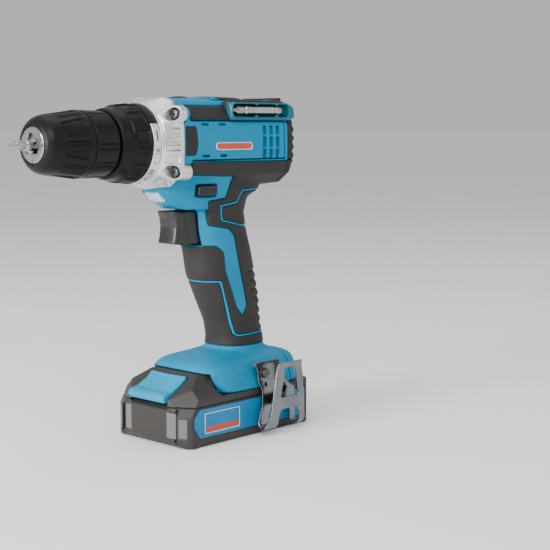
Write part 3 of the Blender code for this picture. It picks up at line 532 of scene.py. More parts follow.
def build_chuck():
    outer = [(-149.8, 11.4), (-149.75, 12.1), (-149.2, 13.7), (-147.9, 15.3), (-146, 16.7), (-143.5, 17.7),
             (-141, 18.25), (-137, 18.75), (-133, 19.15), (-127, 19.95), (-122.5, 20.55), (-120.8, 20.9),
             (-118.6, 20.85), (-118, 20.5)]
    inner = [(-117.9, 17), (-134.3, 16.95), (-134.4, 13.9), (-146.5, 13.85), (-146.6, 11.5)]
    sleeve = lathe("chuck_front_sleeve", dense(outer, 0.35) + inner, 540, sleeve_relief)
    finish(sleeve, "chuck", "chuck_sleeve", "chuck_sleeve", slot="black_plastic")

    def pairs(x, angle, radius):
        off = np.abs(wrapped(angle, 360 / REAR_PAIRS, REAR_PAIR_AT))
        band = rise(x, -116, -114.8) * rise(x, -100.4, -101.6)
        flat = -0.35 * band * bump(off, 0, 3.2, 0.6)
        return flat - 0.75 * band * bump(off, 4.4, 0.7, 0.9)

    outer = [(-117.4, 18.3), (-117.35, 20.2), (-116.8, 20.8), (-112, 20.75), (-104, 20.6), (-100.2, 20.4),
             (-99.2, 19.9), (-98.9, 19.3)]
    inner = [(-98.95, 18), (-104.2, 18)]
    rear = lathe("chuck_rear_band", dense(outer, 0.4) + inner, 540, pairs)
    finish(rear, "chuck", "spindle", "chuck_rear_sleeve", slot="black_plastic")


def collar_relief(x, angle, radius):
    """Rounded finger panels, each with a slim rib along its middle."""
    off = np.abs(wrapped(angle, 360 / PANELS, PANEL_AT))
    reach = np.clip((x + 90.5) / 4, 0, 1)
    half = 10.2 * np.sqrt(1 - (1 - reach) ** 2)
    panel = rise(half - off, -0.8, 1.4) * rise(x, -90.6, -89.6) * rise(x, -78.6, -79.8)
    between = np.abs(wrapped(angle, 360 / PANELS, PANEL_AT + 180 / PANELS))
    groove = bump(between, 0, 0.6, 0.9) * rise(x, -88.5, -87.5) * rise(x, -78.6, -79.8)
    return -1.3 * panel - 0.5 * groove


def on_ring(around, across):
    """A point on the number ring's skin, from degrees along it and mm across it."""
    turn = math.radians(around)
    return (MARKS_X + across, -MARKS_RADIUS * math.cos(turn), AXIS_Z + MARKS_RADIUS * math.sin(turn))


def text_outline(words, size):
    """A word's flat mesh as points and faces, centred."""
    curve = bpy.data.curves.new("word", "FONT")
    curve.body, curve.size, curve.resolution_u = words, size, 4
    curve.align_x, curve.align_y = "CENTER", "CENTER"
    holder = place("word", curve)
    graph = bpy.context.evaluated_depsgraph_get()
    mesh = bpy.data.meshes.new_from_object(holder.evaluated_get(graph))
    points = np.array([v.co[:2] for v in mesh.vertices])
    faces = [tuple(p.vertices) for p in mesh.polygons]
    bpy.data.objects.remove(holder, do_unlink=True)
    return points, faces


def build_ring_marks():
    """Torque numbers in steps of two with dots between, and a plain drill symbol."""
    degree = 180 / (math.pi * RING_RADIUS)
    points, faces = [], []

    def add(new_points, new_faces):
        start = len(points)
        points.extend(new_points)
        faces.extend([tuple(i + start for i in f) for f in new_faces])

    for number in range(9):
        at = -11 - 32 * number
        flat, shapes = text_outline(str(18 - 2 * number), 5)
        add([(at + 0.92 * p[0] * degree, p[1] * 0.92) for p in flat], shapes)
        dot = [(at - 17 + 0.62 * math.cos(a) * degree, 0.62 * math.sin(a))
               for a in np.linspace(0, 2 * math.pi, 17)[:-1]]
        add(dot, [tuple(range(16))])
    add(oblong(3, 21, -0.35, 0.35), [(0, 1, 2, 3)])
    for at in (6, 9, 12, 15):
        add([(at, -1.3), (at + 1.1, -1.3), (at + 3.2, 1.3), (at + 2.1, 1.3)], [(0, 1, 2, 3)])
    marks = paint(new_object("ring_marks", [on_ring(*p) for p in points], faces, smooth=False), "ink")
    work = bmesh.new()
    work.from_mesh(marks.data)
    bmesh.ops.triangulate(work, faces=work.faces)
    bmesh.ops.subdivide_edges(work, edges=[e for e in work.edges if e.calc_length() > 1.5 * MM], cuts=3)
    for v in work.verts:
        spoke = Vector((0, v.co.y, v.co.z - AXIS_Z * MM)).normalized() * MARKS_RADIUS * MM
        v.co = Vector((v.co.x, spoke.y, spoke.z + AXIS_Z * MM))
    bmesh.ops.recalc_face_normals(work, faces=work.faces)
    middle, spread = Vector((0, 0, AXIS_Z * MM)), Vector((0, 1, 1))
    outward = sum(((f.calc_center_median() - middle) * spread).dot(f.normal) for f in work.faces)
    if outward < 0:
        bmesh.ops.reverse_faces(work, faces=work.faces)
    work.to_mesh(marks.data)
    work.free()
    thick = marks.modifiers.new("Thickness", "SOLIDIFY")
    thick.thickness, thick.offset = 0.08 * MM, -1
    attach(marks, "torque_collar")


def build_case_screws():
    """Pan heads with a cross drive, each deep in its bowl."""
    for number, (y, z) in enumerate(SCREWS, 1):
        g = Grid((-61.4, y - 3.8, z - 3.8), (-49, y + 3.8, z + 3.8), 0.24)
        radius = disc(g.y, g.z, (y, z), 0)
        crown = -60.7 + 0.075 * radius**2
        f = both(both(radius - 3.2, crown - g.x, 0.3), g.x + 57.2)
        f = either(f, both(radius - 1.55 + 0.12 * wave(g.x, 1.2), slab(g.x, -58.5, -49.7), 0.4))
        across, up = np.abs(g.y - y), np.abs(g.z - z)
        arms = np.minimum(both(across - 0.42, up - 1.75), both(up - 0.42, across - 1.75))
        f = cut(f, 0.12, arms, g.x + 59.2)
        node = f"case_screw_{number}"
        piece(f"{node}_head", g, f, "black_screw", "housing", node, slot="dark_steel")


def build_collar():
    outer = [(-98, 9.2), (-98, 20.6), (-97.7, 21.6), (-96.6, 22.2), (-93, 22.6), (-90.8, 23.1),
             (-89.6, 24), (-88.2, 24.5), (-83, 24.9), (-78.6, 25.3), (-77.5, 25.2), (-77.3, 24.8)]
    inner = [(-77.3, 20.1), (-80, 18.5), (-95.7, 18.5), (-95.7, 9.2)]
    collar = lathe("clutch_collar", dense(outer, 0.35) + inner, 594, collar_relief)
    finish(collar, "chuck", "torque_collar", "torque_collar", slot="black_plastic")
    outer = [(-77, 20.4), (-77, 25.1), (-76.7, RING_RADIUS), (-71.3, RING_RADIUS), (-70.95, 25.1),
             (-70.9, 20.4)]
    ring = lathe("clutch_ring", outer, 360)
    finish(ring, "ring", "torque_collar", "number_ring", slot="silver")
    bridge = [(-77.6, 24.6), (-77.6, 25.5), (-77.3, 25.75), (-71.6, 25.75), (-71.2, 25.5), (-71.2, 25)]
    tab = lathe("clutch_tab", bridge, 60, low=30, high=80)
    finish(tab, "chuck", "torque_collar", slot="black_plastic")
    build_ring_marks()


# ---- gear case ----

BARREL = [(0, 28.9), (13, 28.9), (18.4, 26.9), (25.8, 16.6), (28.5, 11.8), (28.9, 0), (28.5, -12),
          (25.2, -20), (16, -26.8), (0, -28.9)]
BARREL = [(y, AXIS_Z + z) for y, z in BARREL] + [(-y, AXIS_Z + z) for y, z in BARREL[-2:0:-1]]
SCREWS = [(y, AXIS_Z + z) for y in (-24.4, 24.4) for z in (-17.6, 18.6)]
CASE_REAR, LOBE_REAR = -54.4, (-48.4, -52.4)  # the lower and upper lobes reach back to different places


def barrel(g, low, high, blend=0.6, corner=2.2, grow=0):
    return both(polygon(g.y, g.z, BARREL, corner) - grow, slab(g.x, low, high), blend)


def round_bar(g, y, z, radius, low, high, blend=0.5):
    return both(disc(g.y, g.z, (y, z), radius), slab(g.x, low, high), blend)


def build_gear_case():
    g = Grid((-97, -32, 161), (-36, 32, 229), 0.52)
    f = barrel(g, -70.5, CASE_REAR, 1.3, 2.6, 0.3)
    radius = disc(g.y, g.z, (0, AXIS_Z), 0)
    side = np.abs(g.y)
    (crown,) = along([(-70.5, 25.8), (-62, 29.6), (-57, 32.8), (-54, 33.6)], g.x)
    f = both(f, radius - crown, 0.5)
    for y, z in SCREWS:
        back = LOBE_REAR[z > AXIS_Z]
        f = either(f, round_bar(g, y, z, 5.4, -71, back, 1.2), 1.6)
    # the front is as round as the ring before it, and widens along a cone that cuts the lobes' mouths
    f = both(f, (radius - 25.8 - 0.8 * (g.x + 70.5)) * 0.78, 0.5)
    for reach, low, high in ((19.5, -74, -69), (13, -95, -69), (22.9, -53, -37.4)):
        f = either(f, both(radius - reach, slab(g.x, low, high)))
    # ribbed window on each side, a plain raised square below it and a step at the case's front edge
    window = both(polygon(g.x, g.z, oblong(-68.5, -57, 190.2, 204.6), 1.2), 25.9 - side, 0.3)
    bars = np.minimum.reduce([np.abs(g.z - z) - 1.25 for z in (192.2, 197.3, 202.4)])
    f = without(f, both(window, -bars, 0.5), 0.4)
    square = polygon(g.x, g.z, oblong(-67.6, -58.5, 181, 187.6), 1)
    f = cut(f, 0.3, square, 26.9 - side + 0.35 * np.clip(AXIS_Z - 9 - g.z, 0, 9))
    low_panel = polygon(g.x, g.z, oblong(-66.6, -56, 167.5, 172), 1)
    f = cut(f, 0.4, low_panel, 14 - side)
    f = cut(f, 0.3, slab(g.x, -72, -68.9), 26 - radius)
    f = cut(f, 0.4, polygon(g.x, g.y, oblong(-67.5, -56.6, -10, 10), 1.5), AXIS_Z + 28.2 - g.z)
    for y, z in SCREWS:
        out = np.clip(-56.5 - g.x, 0, 14)
        bowl = np.hypot(g.y - y * (1 + 0.012 * out), g.z - z) - 3.9 - 0.05 * out
        f = without(f, both(bowl, slab(g.x, -80, -57), 2), 0.5)
        f = without(f, round_bar(g, y, z, 2.3, -80, -40))
    for reach, low, high in ((20.3, -68, -30), (11.3, -99, -67)):
        f = cut(f, 0, radius - reach, slab(g.x, low, high))
    finish(surface("gear_housing", g, f), "silver", "housing", "gear_case", slot="silver")


# ---- housing and grips ----

STEM = [(48, 16.5, 23, 20.5), (52.5, 16.8, 20.4, 18.3), (56.8, 17, 19.2, 17.4), (62, 17, 18.4, 16.8),
        (73, 14.8, 18.4, 16.8), (90, 9.8, 22.3, 17), (107, 3.8, 24.7, 17), (123, 0.4, 24, 17),
        (135, -3.5, 24, 17), (151.2, -6, 22.9, 17.6), (164, -7, 30, 19), (184, -6, 34, 20)]
POD = [(151.6, -12.2, 29.2, 18), (157.6, -16.5, 35.5, 18.5), (163, -13.5, 46, 19.5), (170, -12, 46, 20.5),
       (182, -8, 38, 20)]
FOOT = [(30, -26, 50, 35.4), (31, -27, 50, 35.3), (44, -35.5, 51, 32.5), (47.5, -32.5, 50.5, 30),
        (49.3, -29, 49.5, 28), (50.6, -24, 47.5, 25), (51.8, -17, 44, 21.5), (53, -9, 38, 18.5),
        (54.2, -4, 35, 17)]
SOFT_ZONE = [
    (-60, 56.9), (60, 56.9), (60, 182.4), (-48.5, 183.2), (-48.5, 174.6), (-5, 172.8), (-9.7, 158.6),
    (-24.5, 157), (-21, 140.5), (-4.3, 137.6), (0.6, 133), (4.6, 116), (10.2, 95), (12.6, 84.5), (8.8, 78),
    (3.6, 84), (-7, 110), (-8.5, 122), (-14, 126.5), (-27, 127.5), (-60, 124.5)]
LINE_1 = [(-60, 104.4), (-30.4, 102.2), (-10.1, 102.3), (3.2, 65.8), (5.6, 64.1), (60, 65.4)]
LINE_2 = [(60, 165), (16.9, 163.3), (6.3, 163), (1.5, 155.2), (-13.5, 153.2), (-10.8, 143.5), (7.1, 139.5),
          (60, 134)]
UPPER_RAIL = oblong(-47.5, -5.2, 209.7, 218.4)
FRONT_PATCH = [
    (-53.2, 187.2), (-44.6, 187.2), (-43.2, 189.5), (-42.6, 196.3), (-43.2, 203.2), (-44.6, 205.5),
    (-53.2, 205.5)]
HOUSING_SCREWS = [(7, 100), (17, 68), (7, 128)]


def stem(g, grow=0):
    centre, half_x, half_y = along(STEM, g.z, 2.5)
    return both(sections(g.x, g.y, centre, half_x, half_y, 2.7) - grow, slab(g.z, 48, 182))


def pod(g, grow=0):
    centre, half_x, half_y = along(POD, g.z, 1.2)
    return both(sections(g.x, g.y, centre, half_x, half_y, 3) - grow, slab(g.z, 151.5 - grow, 182), 1.4)


def foot(g):
    front, rear, width = along(FOOT, g.z, 0.8)
    form = sections(g.x, g.y, (front + rear) / 2, (rear - front) / 2, width, 6.6)
    return both(form, slab(g.z, 31, 54), 1)


THROAT_X, THROAT_Z = -60.5, 165  # where the slope with the lamp starts
THROAT_DOWN = (0.739, -0.674)  # a step down the slope


def throat(distance, lift):
    """A point at a distance down the throat's slope and a height off it."""
    run, fall = THROAT_DOWN
    return (THROAT_X + run * distance + fall * lift, THROAT_Z + fall * distance - run * lift)


def vent_slots(g):
    """Three slightly curved columns of three slots on the barrel's side."""
    bowed = g.x + 0.00162 * (g.z - 195.5) ** 2
    rows = ((184.9, 190.5), (191.9, 198.7), (200.1, 206))
    slots = [rect(bowed, x - 1.9, x + 1.9, g.z, *row, 0.7) for x, row in product((18.6, 24.9, 31.2), rows)]
    return functools.reduce(np.minimum, slots)


def panel_details(g, f, pads, patch, rail):
    """Steps above and below the blue side panels, recesses for the dark inserts, vents and slots."""
    side = np.abs(g.y)
    for low, high in ((208.6, 209.4), (183.6, 184.3)):
        f = cut(f, 0.3, rect(g.z, low, high, g.x, -48, 39.5), 22 - side)
    f = cut(f, 0.2, patch - 0.3, 27.7 - side)
    f = cut(f, 0.25, vent_slots(g), 25.6 - side)
    for x, z in ((-36, 206.6), (-20.5, 206.6), (-35.5, 186.6), (-20, 186.6)):
        f = cut(f, 0.2, rect(g.x, x - 3.4, x + 3.4, g.z, z - 0.75, z + 0.75, 0.6), 26 - side)
    f = cut(f, 0.3, rail - 0.3, 12 - side, -(pads + 1))
    # the panel's rear edge, stepped down to the bumper
    return cut(f, 0.3, slab(g.x, 37.6, 38.4), 20 - side)


def rooms(g, f, grips, radius):
    """Room for the motor and the gears, a hollow handle and the battery's channel with its two rails."""
    side = np.abs(g.y)
    for reach, low, high in ((24.6, -35, 60), (23.3, -70, -37), (20.6, -38, -34)):
        f = cut(f, 0, radius - reach, slab(g.x, low, high))
    f = cut(f, 0, grips + 4.4, slab(g.z, 57.5, 171))
    f = cut(f, 0.3, slab(g.x, -70, 46.9), side - 27.3, slab(g.z, 20, 44.2))
    f = either(f, both(rect(g.x, -19, 47.2, side, 24.3, 27.8), slab(g.z, 36.4, 39.6), 0.3))
    return cut(f, 0, slab(g.x, 6, 30), side - 12.3, slab(g.z, 40, 60))


def openings(g, f):
    """Openings for the trigger, the lens, the direction switch and the screws."""
    side = np.abs(g.y)
    outline = [(-70, 127.6), (-21.5, 127.2), (-15.2, 128.4), (-12.6, 133), (-12.2, 146), (-15.4, 150.6),
               (-22, 151.8), (-70, 151.8)]
    f = cut(f, 0.7, polygon(g.x, g.z, outline, 1), side - 9.5)
    lens = polygon(g.x, g.z, [throat(2.6, 5), throat(12.4, 5), throat(12.4, -3.4), throat(2.6, -3.4)], 0.6)
    f = without(f, both(lens, side - 7.3, 0.5), 0.4)
    f = cut(f, 0.5, rect(g.x, -36.2, -18, g.z, 159.7, 168.2, 0.8), 17.4 - side)
    f = without(f, rect(g.x, -35.4, -18.6, g.z, 160.4, 167.6, 0.4))
    for x, z in HOUSING_SCREWS:
        f = either(f, both(disc(g.x, g.z, (x, z), 3.6), side - 13))
        f = cut(f, 0, disc(g.x, g.z, (x, z), 1.8), slab(g.y, -9, 30))
        f = cut(f, 0.3, disc(g.x, g.z, (x, z), 3.3), slab(g.y, 12.5, 40))
    return cut(f, 0, disc(g.x, g.z, (10, 40.5), 1.8), slab(g.y, -60, -28.5))


def build_housing():
    g = Grid((-62, -37.5, 29.5), (53, 37.5, 226), 0.6)
    radius = disc(g.y, g.z, (0, AXIS_Z), 0)
    grips = either(stem(g), pod(g), 3.5)
    body = either(grips, barrel(g, CASE_REAR + 0.4, 41), 2)
    pads = either(grips, barrel(g, -60, 60), 2)
    f = either(body, foot(g), 3)
    # the dip in the top, and the lugs that the gear case's screws go into
    f = cut(f, 1.5, slab(g.x, 14, 36), AXIS_Z + 28 - g.z)
    for y, z in SCREWS:
        back = LOBE_REAR[z > AXIS_Z] + 0.3
        f = either(f, both(disc(g.y, g.z, (y, z), 4.6), slab(g.x, CASE_REAR + 0.4, back + 3.2), 2.5), 1.5)
        f = without(f, round_bar(g, y, z, 5.75, -90, back, 0), 0.2)
    # recesses for the soft grips, with raised lines left standing in them
    zone = polygon(g.x, g.z, SOFT_ZONE, 1.2)
    lines = np.minimum(polyline(g.x, g.z, LINE_1), polyline(g.x, g.z, LINE_2)) - 0.62
    f = cut(f, 0.35, both(zone, -lines, 0.2), -(pads + 1.2))
    f = either(f, both(both(both(zone, lines), pads - 0.5, 0.25), -(pads + 2)))
    patch, rail = polygon(g.x, g.z, FRONT_PATCH, 0.8), polygon(g.x, g.z, UPPER_RAIL, 1)
    f = panel_details(g, f, pads, patch, rail)
    f = openings(g, rooms(g, f, grips, radius))
    split_halves("shell", g, f, "blue", ("housing_",), "shell")
    build_grips(g, pads, zone, lines)
    build_inserts(g, pads, patch, rail)


MOST_FACES, THINNED_TO = 90000, 0.6  # a heavier moulded half is thinned


def split_halves(name, g, field, look, nodes, slot):
    """The two moulded halves, parted on the middle plane and closed there.

    nodes are the names of the CAD nodes they stand for, without the left or right at their end.
    """
    whole = surface(name, g, field)
    for half, sign in (("left", -1), ("right", 1)):
        made = place(f"{name}_{half}", whole.data.copy())
        work = bmesh.new()
        work.from_mesh(made.data)
        outwards = (0, -sign, 0)
        parted = bmesh.ops.bisect_plane(work, geom=[*work.verts, *work.edges, *work.faces], dist=1e-7,
                                        plane_co=(0, 0, 0), plane_no=outwards, clear_outer=True)
        rim = [e for e in parted["geom_cut"] if isinstance(e, bmesh.types.BMEdge)]
        capped = bmesh.ops.triangle_fill(work, edges=rim, normal=outwards)
        for edge in rim:
            edge.smooth = False
        for face in capped["geom"]:
            if isinstance(face, bmesh.types.BMFace) and face.normal.y * sign > 0:
                face.normal_flip()
        work.to_mesh(made.data)
        work.free()
        if len(made.data.polygons) > MOST_FACES:
            made.modifiers.new("Thinned", "DECIMATE").ratio = THINNED_TO
        finish(made, look, "housing", *(node + half for node in nodes), slot=slot)
    bpy.data.objects.remove(whole, do_unlink=True)


def build_grips(g, pads, zone, lines):
    """Soft pads, a little proud of the shell, with rounded edges and finger ribs down the back."""
    side = np.abs(g.y)
    centre = along(STEM, g.z, 2.5)[0]
    ribs = rise(g.x, centre + 4, centre + 11) * rise(g.z, 62, 67) * rise(g.z, 114, 108)
    hollow = np.sqrt(np.maximum(0.5 - 0.5 * wave(g.z - 64.5, 6.1), 0))
    outer = pads - 0.5 + 1.15 * ribs * (1 - hollow)
    f = both(both(outer, -(pads + 0.9)), zone + 0.28, 0.8)
    f = without(f, lines - 0.28, 0.5)
    f = both(f, slab(g.x, CASE_REAR + 0.8, 41), 0.3)
    f = cut(f, 0.4, slab(g.x, -70, -12), side - 10.2, slab(g.z, 126.2, 152))
    for x, z in HOUSING_SCREWS:
        f = cut(f, 0.5, disc(g.x, g.z, (x, z), 3.7), slab(g.y, 8, 40))
    for y, z in SCREWS:
        back = LOBE_REAR[z > AXIS_Z] + 0.6
        f = without(f, round_bar(g, y, z, 6, -90, back, 0), 0.4)
    f = without(f, rect(g.x, -36.2, -18, g.z, 159.7, 168.2, 0.4), 0.4)
    split_halves("grip", g, f, "rubber", ("grip_front_", "grip_rear_"), "grip")


def build_inserts(g, pads, patch, rail):
    """Dark inserts let into the barrel's sides: the front patch and the upper rail."""
    side = np.abs(g.y)
    f = both(both(both(pads + 0.35, patch, 0.5), -(pads + 1.15)), 20 - side)
    grooves = np.minimum.reduce([np.abs(g.z - z) - 0.3 for z in (191, 196.3, 201.6)])
    f = cut(f, 0.3, grooves, -(pads + 0.75))
    split_halves("patch", g, f, "rubber", (), "grip")
    f = both(both(both(pads - 0.75, rail, 0.7), -(pads + 0.95)), 12 - side)
    split_halves("upper_rail", g, f, "rubber", (), "grip")


# ---- back end and top of the barrel ----


def piece(name, grid, field, look, body, *nodes, slot=None):
    return finish(surface(name, grid, field), look, body, *nodes, slot=slot)


def build_bumper():
    """The dark rear cap: scalloped sides, a raised top corner and cooling slots."""
    g = Grid((40.3, -31.5, 163.5), (51.5, 31.5, 227), 0.45)
    side, radius = np.abs(g.y), disc(g.y, g.z, (0, AXIS_Z), 0)
    scallop = wave(g.z - 191.7, 5.8) * rise(side, 13, 19)
    middle = rise(g.z, 182.5, 185) * rise(g.z, 209.5, 207.5)
    rear = 48.4 + middle * (-0.9 + 1.35 * scallop) - 1.4 * rise(g.z, 183, 181) * rise(side, 14, 22)
    tail = 0.055 * np.clip(g.x - 43.5, 0, 9) ** 2 - 0.4
    f = both(polygon(g.y, g.z, BARREL, 2.4) + tail, both(41.3 - g.x, g.x - rear), 1.8)
    crest = both(rect(g.y, -16.5, 16.5, g.z, 214, 224.9), slab(g.x, 41.3, 48), 2.2)
    f = either(f, both(crest, 20.5 - radius), 1)
    for z in (183.2, 209.4):
        f = cut(f, 0.4, near(g.z, z, 0.45), 26.4 - side)
    f = cut(f, 0.4, rect(g.y, -13.5, 13.5, g.z, AXIS_Z - 17.5, AXIS_Z + 17.5, 3), 47.7 - g.x)
    for row in range(-3, 4):
        z = AXIS_Z + 4.6 * row
        f = without(f, rect(g.y, -11, 11, g.z, z - 1.05, z + 1.05, 0.9), 0.3)
    f = cut(f, 0, radius - 23.5 + 0.9 * np.clip(g.x - 43.4, 0, 9), g.x - 46.2)
    piece("rear_bumper", g, f, "rubber", "housing", "rear_cap", slot="grip")


def build_cover():
    """The top cover: a blue front with a hump behind the speed selector, and a dark saddle behind it."""
    g = Grid((-47.2, -19, 219), (42, 19, 226.2), 0.4)
    side = np.abs(g.y)
    heights = [(-46, 220.6), (-43, 221.3), (-27, 221.5), (-23, 222.2), (-19, 224), (-14, 224.9),
               (-9, 224.9), (6, 224.7), (13, 223.4), (20, 222.4), (33, 222.3), (37, 223.6), (42, 224.8)]
    top = along(heights, g.x)[0] + 0.25 - 0.0035 * g.y**2
    wide = side - 17.6 + 0.85 * np.clip(g.z - 221.3, 0, 5)
    f = both(both(g.z - top, wide, 1.4), slab(g.x, -46, 40.9), 1)
    f = both(f, -(polygon(g.y, g.z, BARREL, 2.2) - 0.35))
    f = without(f, rect(g.x, -41.4, -20.6, g.y, -7.3, 7.3, 4), 0.4)
    f = cut(f, 0.5, rect(g.x, -42.6, -19.4, g.y, -8.5, 8.5, 4.5), 221 - g.z)
    border = g.x + 5 + 2.6 * np.clip(g.z - 220.5, 0, 5)
    piece("cover_front", g, both(f, border + 0.12, 0.3), "blue", "housing", "top_cover", slot="shell")
    f = both(f, 0.12 - border, 0.3)
    for x in (18.5, 23.5, 28.5):
        f = cut(f, 0.3, both(near(g.x, x, 0.7), 10 - side, 0.5), 221.7 - g.z)
    piece("cover_saddle", g, f, "rubber", "housing", "top_cover", slot="grip")


def build_selector():
    g = Grid((-43, -8.5, 222.9), (-24, 8.5, 227.2), 0.3)
    oval = sections(g.x, g.y, -33.5, 7.6, 7, 2.6)
    top = 225 - 0.026 * (g.x + 33.5) ** 2 - 0.012 * g.y**2
    waves = 0.32 * np.clip(wave(g.x + 33.5, 2.5), -0.4, 1) * rise(np.abs(g.x + 33.5), 5.6, 4.8)
    f = both(both(oval, g.z - top - waves + 0.3, 1.1), 223.9 - g.z)
    piece("selector_knob", g, f, "gloss", "selector", "speed_selector", slot="black_plastic")


SPARE_Y, SPARE_Z = -27.3, AXIS_Z + 21.6  # the spare bit's axis
TRAY_GAP = 0.75  # between the barrel's side and the tray


def build_tray():
    """The teal bit tray: an open pocket with a raised rim and two clips that grip the spare bit."""
    g = Grid((-15, -31.2, 207.3), (49, -16.8, 224.6), 0.4)
    outline = [(-18.3, 26.6), (-26, 14.6), (-28.2, 14.6), (-29.4, 16.4), (-28.6, 25.4), (-23.5, 28.4)]
    f = polygon(g.y, g.z, [(y, AXIS_Z + z) for y, z in outline], 1.2)
    outline = [(-13.8, 209), (43, 209), (47.2, 211.4), (47.2, 217.6), (42.5, 221.2), (36, 224), (-11, 224),
               (-13.8, 221)]
    f = both(f, polygon(g.x, g.z, outline, 1.6), 1)
    f = both(without(f, barrel(g, -70, 70, 0, 2.2, TRAY_GAP)), g.y + 18)
    shelf = both(f, -24.95 - g.y, 0.4)
    for x in (-4, 5, 14, 23, 32):
        shelf = cut(shelf, 0.3, rect(g.x, x - 0.6, x + 0.6, g.y, -23.6, -20.4, 0.4), 222.6 - g.z)
    piece("tray_backing", g, both(shelf, g.x - 41.5, 0.8), "rubber", "housing", "bit_holder", slot="grip")
    f = both(both(f, g.y + 24.75, 0.3), g.z - 221.4, 0.8)
    pocket = polygon(g.x, g.z, oblong(-12.2, 40.6, 211.7, 219.9), 2.6)
    f = without(f, both(pocket, g.y + 25.6, 0.6), 0.5)
    f = either(f, both(np.abs(pocket - 0.7) - 0.55, slab(g.y, -29.8, -27), 0.5), 0.25)
    rod = disc(g.y, g.z, (SPARE_Y, SPARE_Z), 0)
    for x in (9.5, 29):
        f = either(f, both(both(rod - 4.75, near(g.x, x, 1.3), 0.4), slab(g.y, -29.9, -20)), 0.3)
    f = cut(f, 0.2, rod - 3.85, slab(g.x, -12.2, 38.8))
    piece("bit_tray", g, f, "tray", "housing", "bit_holder", slot="teal")


def bit_relief(hex_from, hex_to, tips):
    """Changes of radius that make a hexagon along part of a bit and a cross at each tip."""

    def relief(x, angle, radius):
        corner = np.abs(wrapped(angle, 60, 30))
        flat = radius * (math.cos(math.radians(30)) / np.cos(np.radians(30 - corner)) - 1)
        change = flat * rise(x, hex_from, hex_from + 0.4) * rise(x, hex_to, hex_to - 0.4)
        for start, end in tips:
            reach = rise(x, end, start)
            fluted = np.clip(np.cos(np.radians(4 * angle)), -0.2, 1)
            change = change - radius * 0.42 * reach * (0.5 + 0.5 * fluted) * (reach > 0)
        return change

    return relief


HALF_HEX = 3.18  # half of the bits' width across flats, with their rounding


def build_bits():
    corner = HALF_HEX / math.cos(math.radians(30))
    profile = [(-166, 0), (-165.9, 0.9), (-164.2, 1.6), (-161.4, 3), (-160.4, 3.1), (-157, 3.1),
               (-156.6, 2.75), (-155.9, 2.75), (-154.6, 3.5), (-153.9, corner), (-116.2, corner),
               (-116, 3.3), (-116, 0)]
    bit = lathe("bit", dense(profile, 0.3), 96, bit_relief(-154.4, -110, [(-165.9, -160.9)]))
    finish(bit, "turned", "driver_bit", "driver_bit", slot="steel")
    half = [(-11.5, 0), (-11.4, 0.8), (-9.8, 1.6), (-7.4, 2.85), (-6.5, 2.95), (-2.6, 2.95), (-2.2, 2.4),
            (-1, 2.4), (-0.4, 3.2), (0.4, corner)]
    profile = half + [(26 - x, r) for x, r in half[::-1]]
    relief = bit_relief(0, 26, [(-11.4, -6.8), (37.4, 32.8)])
    bit = lathe("spare_bit_steel", dense(profile, 0.3), 96, relief, (SPARE_Y, SPARE_Z))
    finish(bit, "steel", "spare_bit", "spare_bit", slot="steel")


# ---- controls ----


def build_trigger():
    g = Grid((-49, -10.2, 126.8), (-22.8, 10.2, 152.2), 0.35)
    side = np.abs(g.y)
    outline = [(-24, 128.2), (-40, 128.4), (-46.6, 129.4), (-45.2, 134), (-44.5, 140), (-45.3, 146),
               (-47.2, 150.7), (-24, 150.7)]
    scoop = 0.0045 * g.y**2
    f = both(both(polygon(g.x - scoop * 3.2, g.z, outline, 0.9), side - 9, 2.6), g.x + 24, 0.5)
    curve = [(-37.6, 151.5), (-36.4, 146.5), (-34.8, 141), (-34.4, 135.5), (-36, 127)]
    f = cut(f, 0.5, polyline(g.x, g.z, curve) - 0.55, 8.3 - side)
    f = cut(f, 0.4, polygon(g.x, g.z, curve + [(-20, 127), (-20, 151.5)]), 8.65 - side)
    for z in (135.2, 140, 144.8):
        f = without(f, both(disc(g.x, g.z, (-46.1, z), 1), side - 5, 0.6), 0.5)
    piece("trigger_lever", g, f, "gloss", "trigger", "trigger", slot="black_plastic")


def build_direction_switch():
    g = Grid((-36.2, -22.6, 159.6), (-17.8, 22.6, 168.4), 0.4)
    side = np.abs(g.y)
    f = both(rect(g.x, -35, -19, g.z, 160.8, 167.2, 1.4), side - 21.4, 1)
    ribs = np.abs(wrapped(g.x, 2.3, -27)) - 0.4
    f = cut(f, 0.3, ribs, slab(g.z, 161.9, 166.1), 20.8 - side)
    piece("switch_slide", g, f, "gloss", "direction_switch", "direction_switch", slot="black_plastic")


def build_lens():
    g = Grid((-63.5, -7.8, 152), (-49, 7.8, 167.5), 0.3)
    run, fall = THROAT_DOWN
    distance = (g.x - THROAT_X) * run + (g.z - THROAT_Z) * fall
    lift = (g.x - THROAT_X) * fall - (g.z - THROAT_Z) * run
    dome = 0.75 - 0.012 * (g.y**2 + 1.6 * (distance - 7.5) ** 2)
    f = both(rect(distance, 3, 12, g.y, -7, 7, 1.6), both(lift - dome, -3 - lift), 0.4)
    piece("lamp_lens", g, f, "lens", "housing", "led_lens", slot="lens")


# ---- belt clip ----

CLIP_MIDDLE = -42.5  # y half way between the clip's two plates


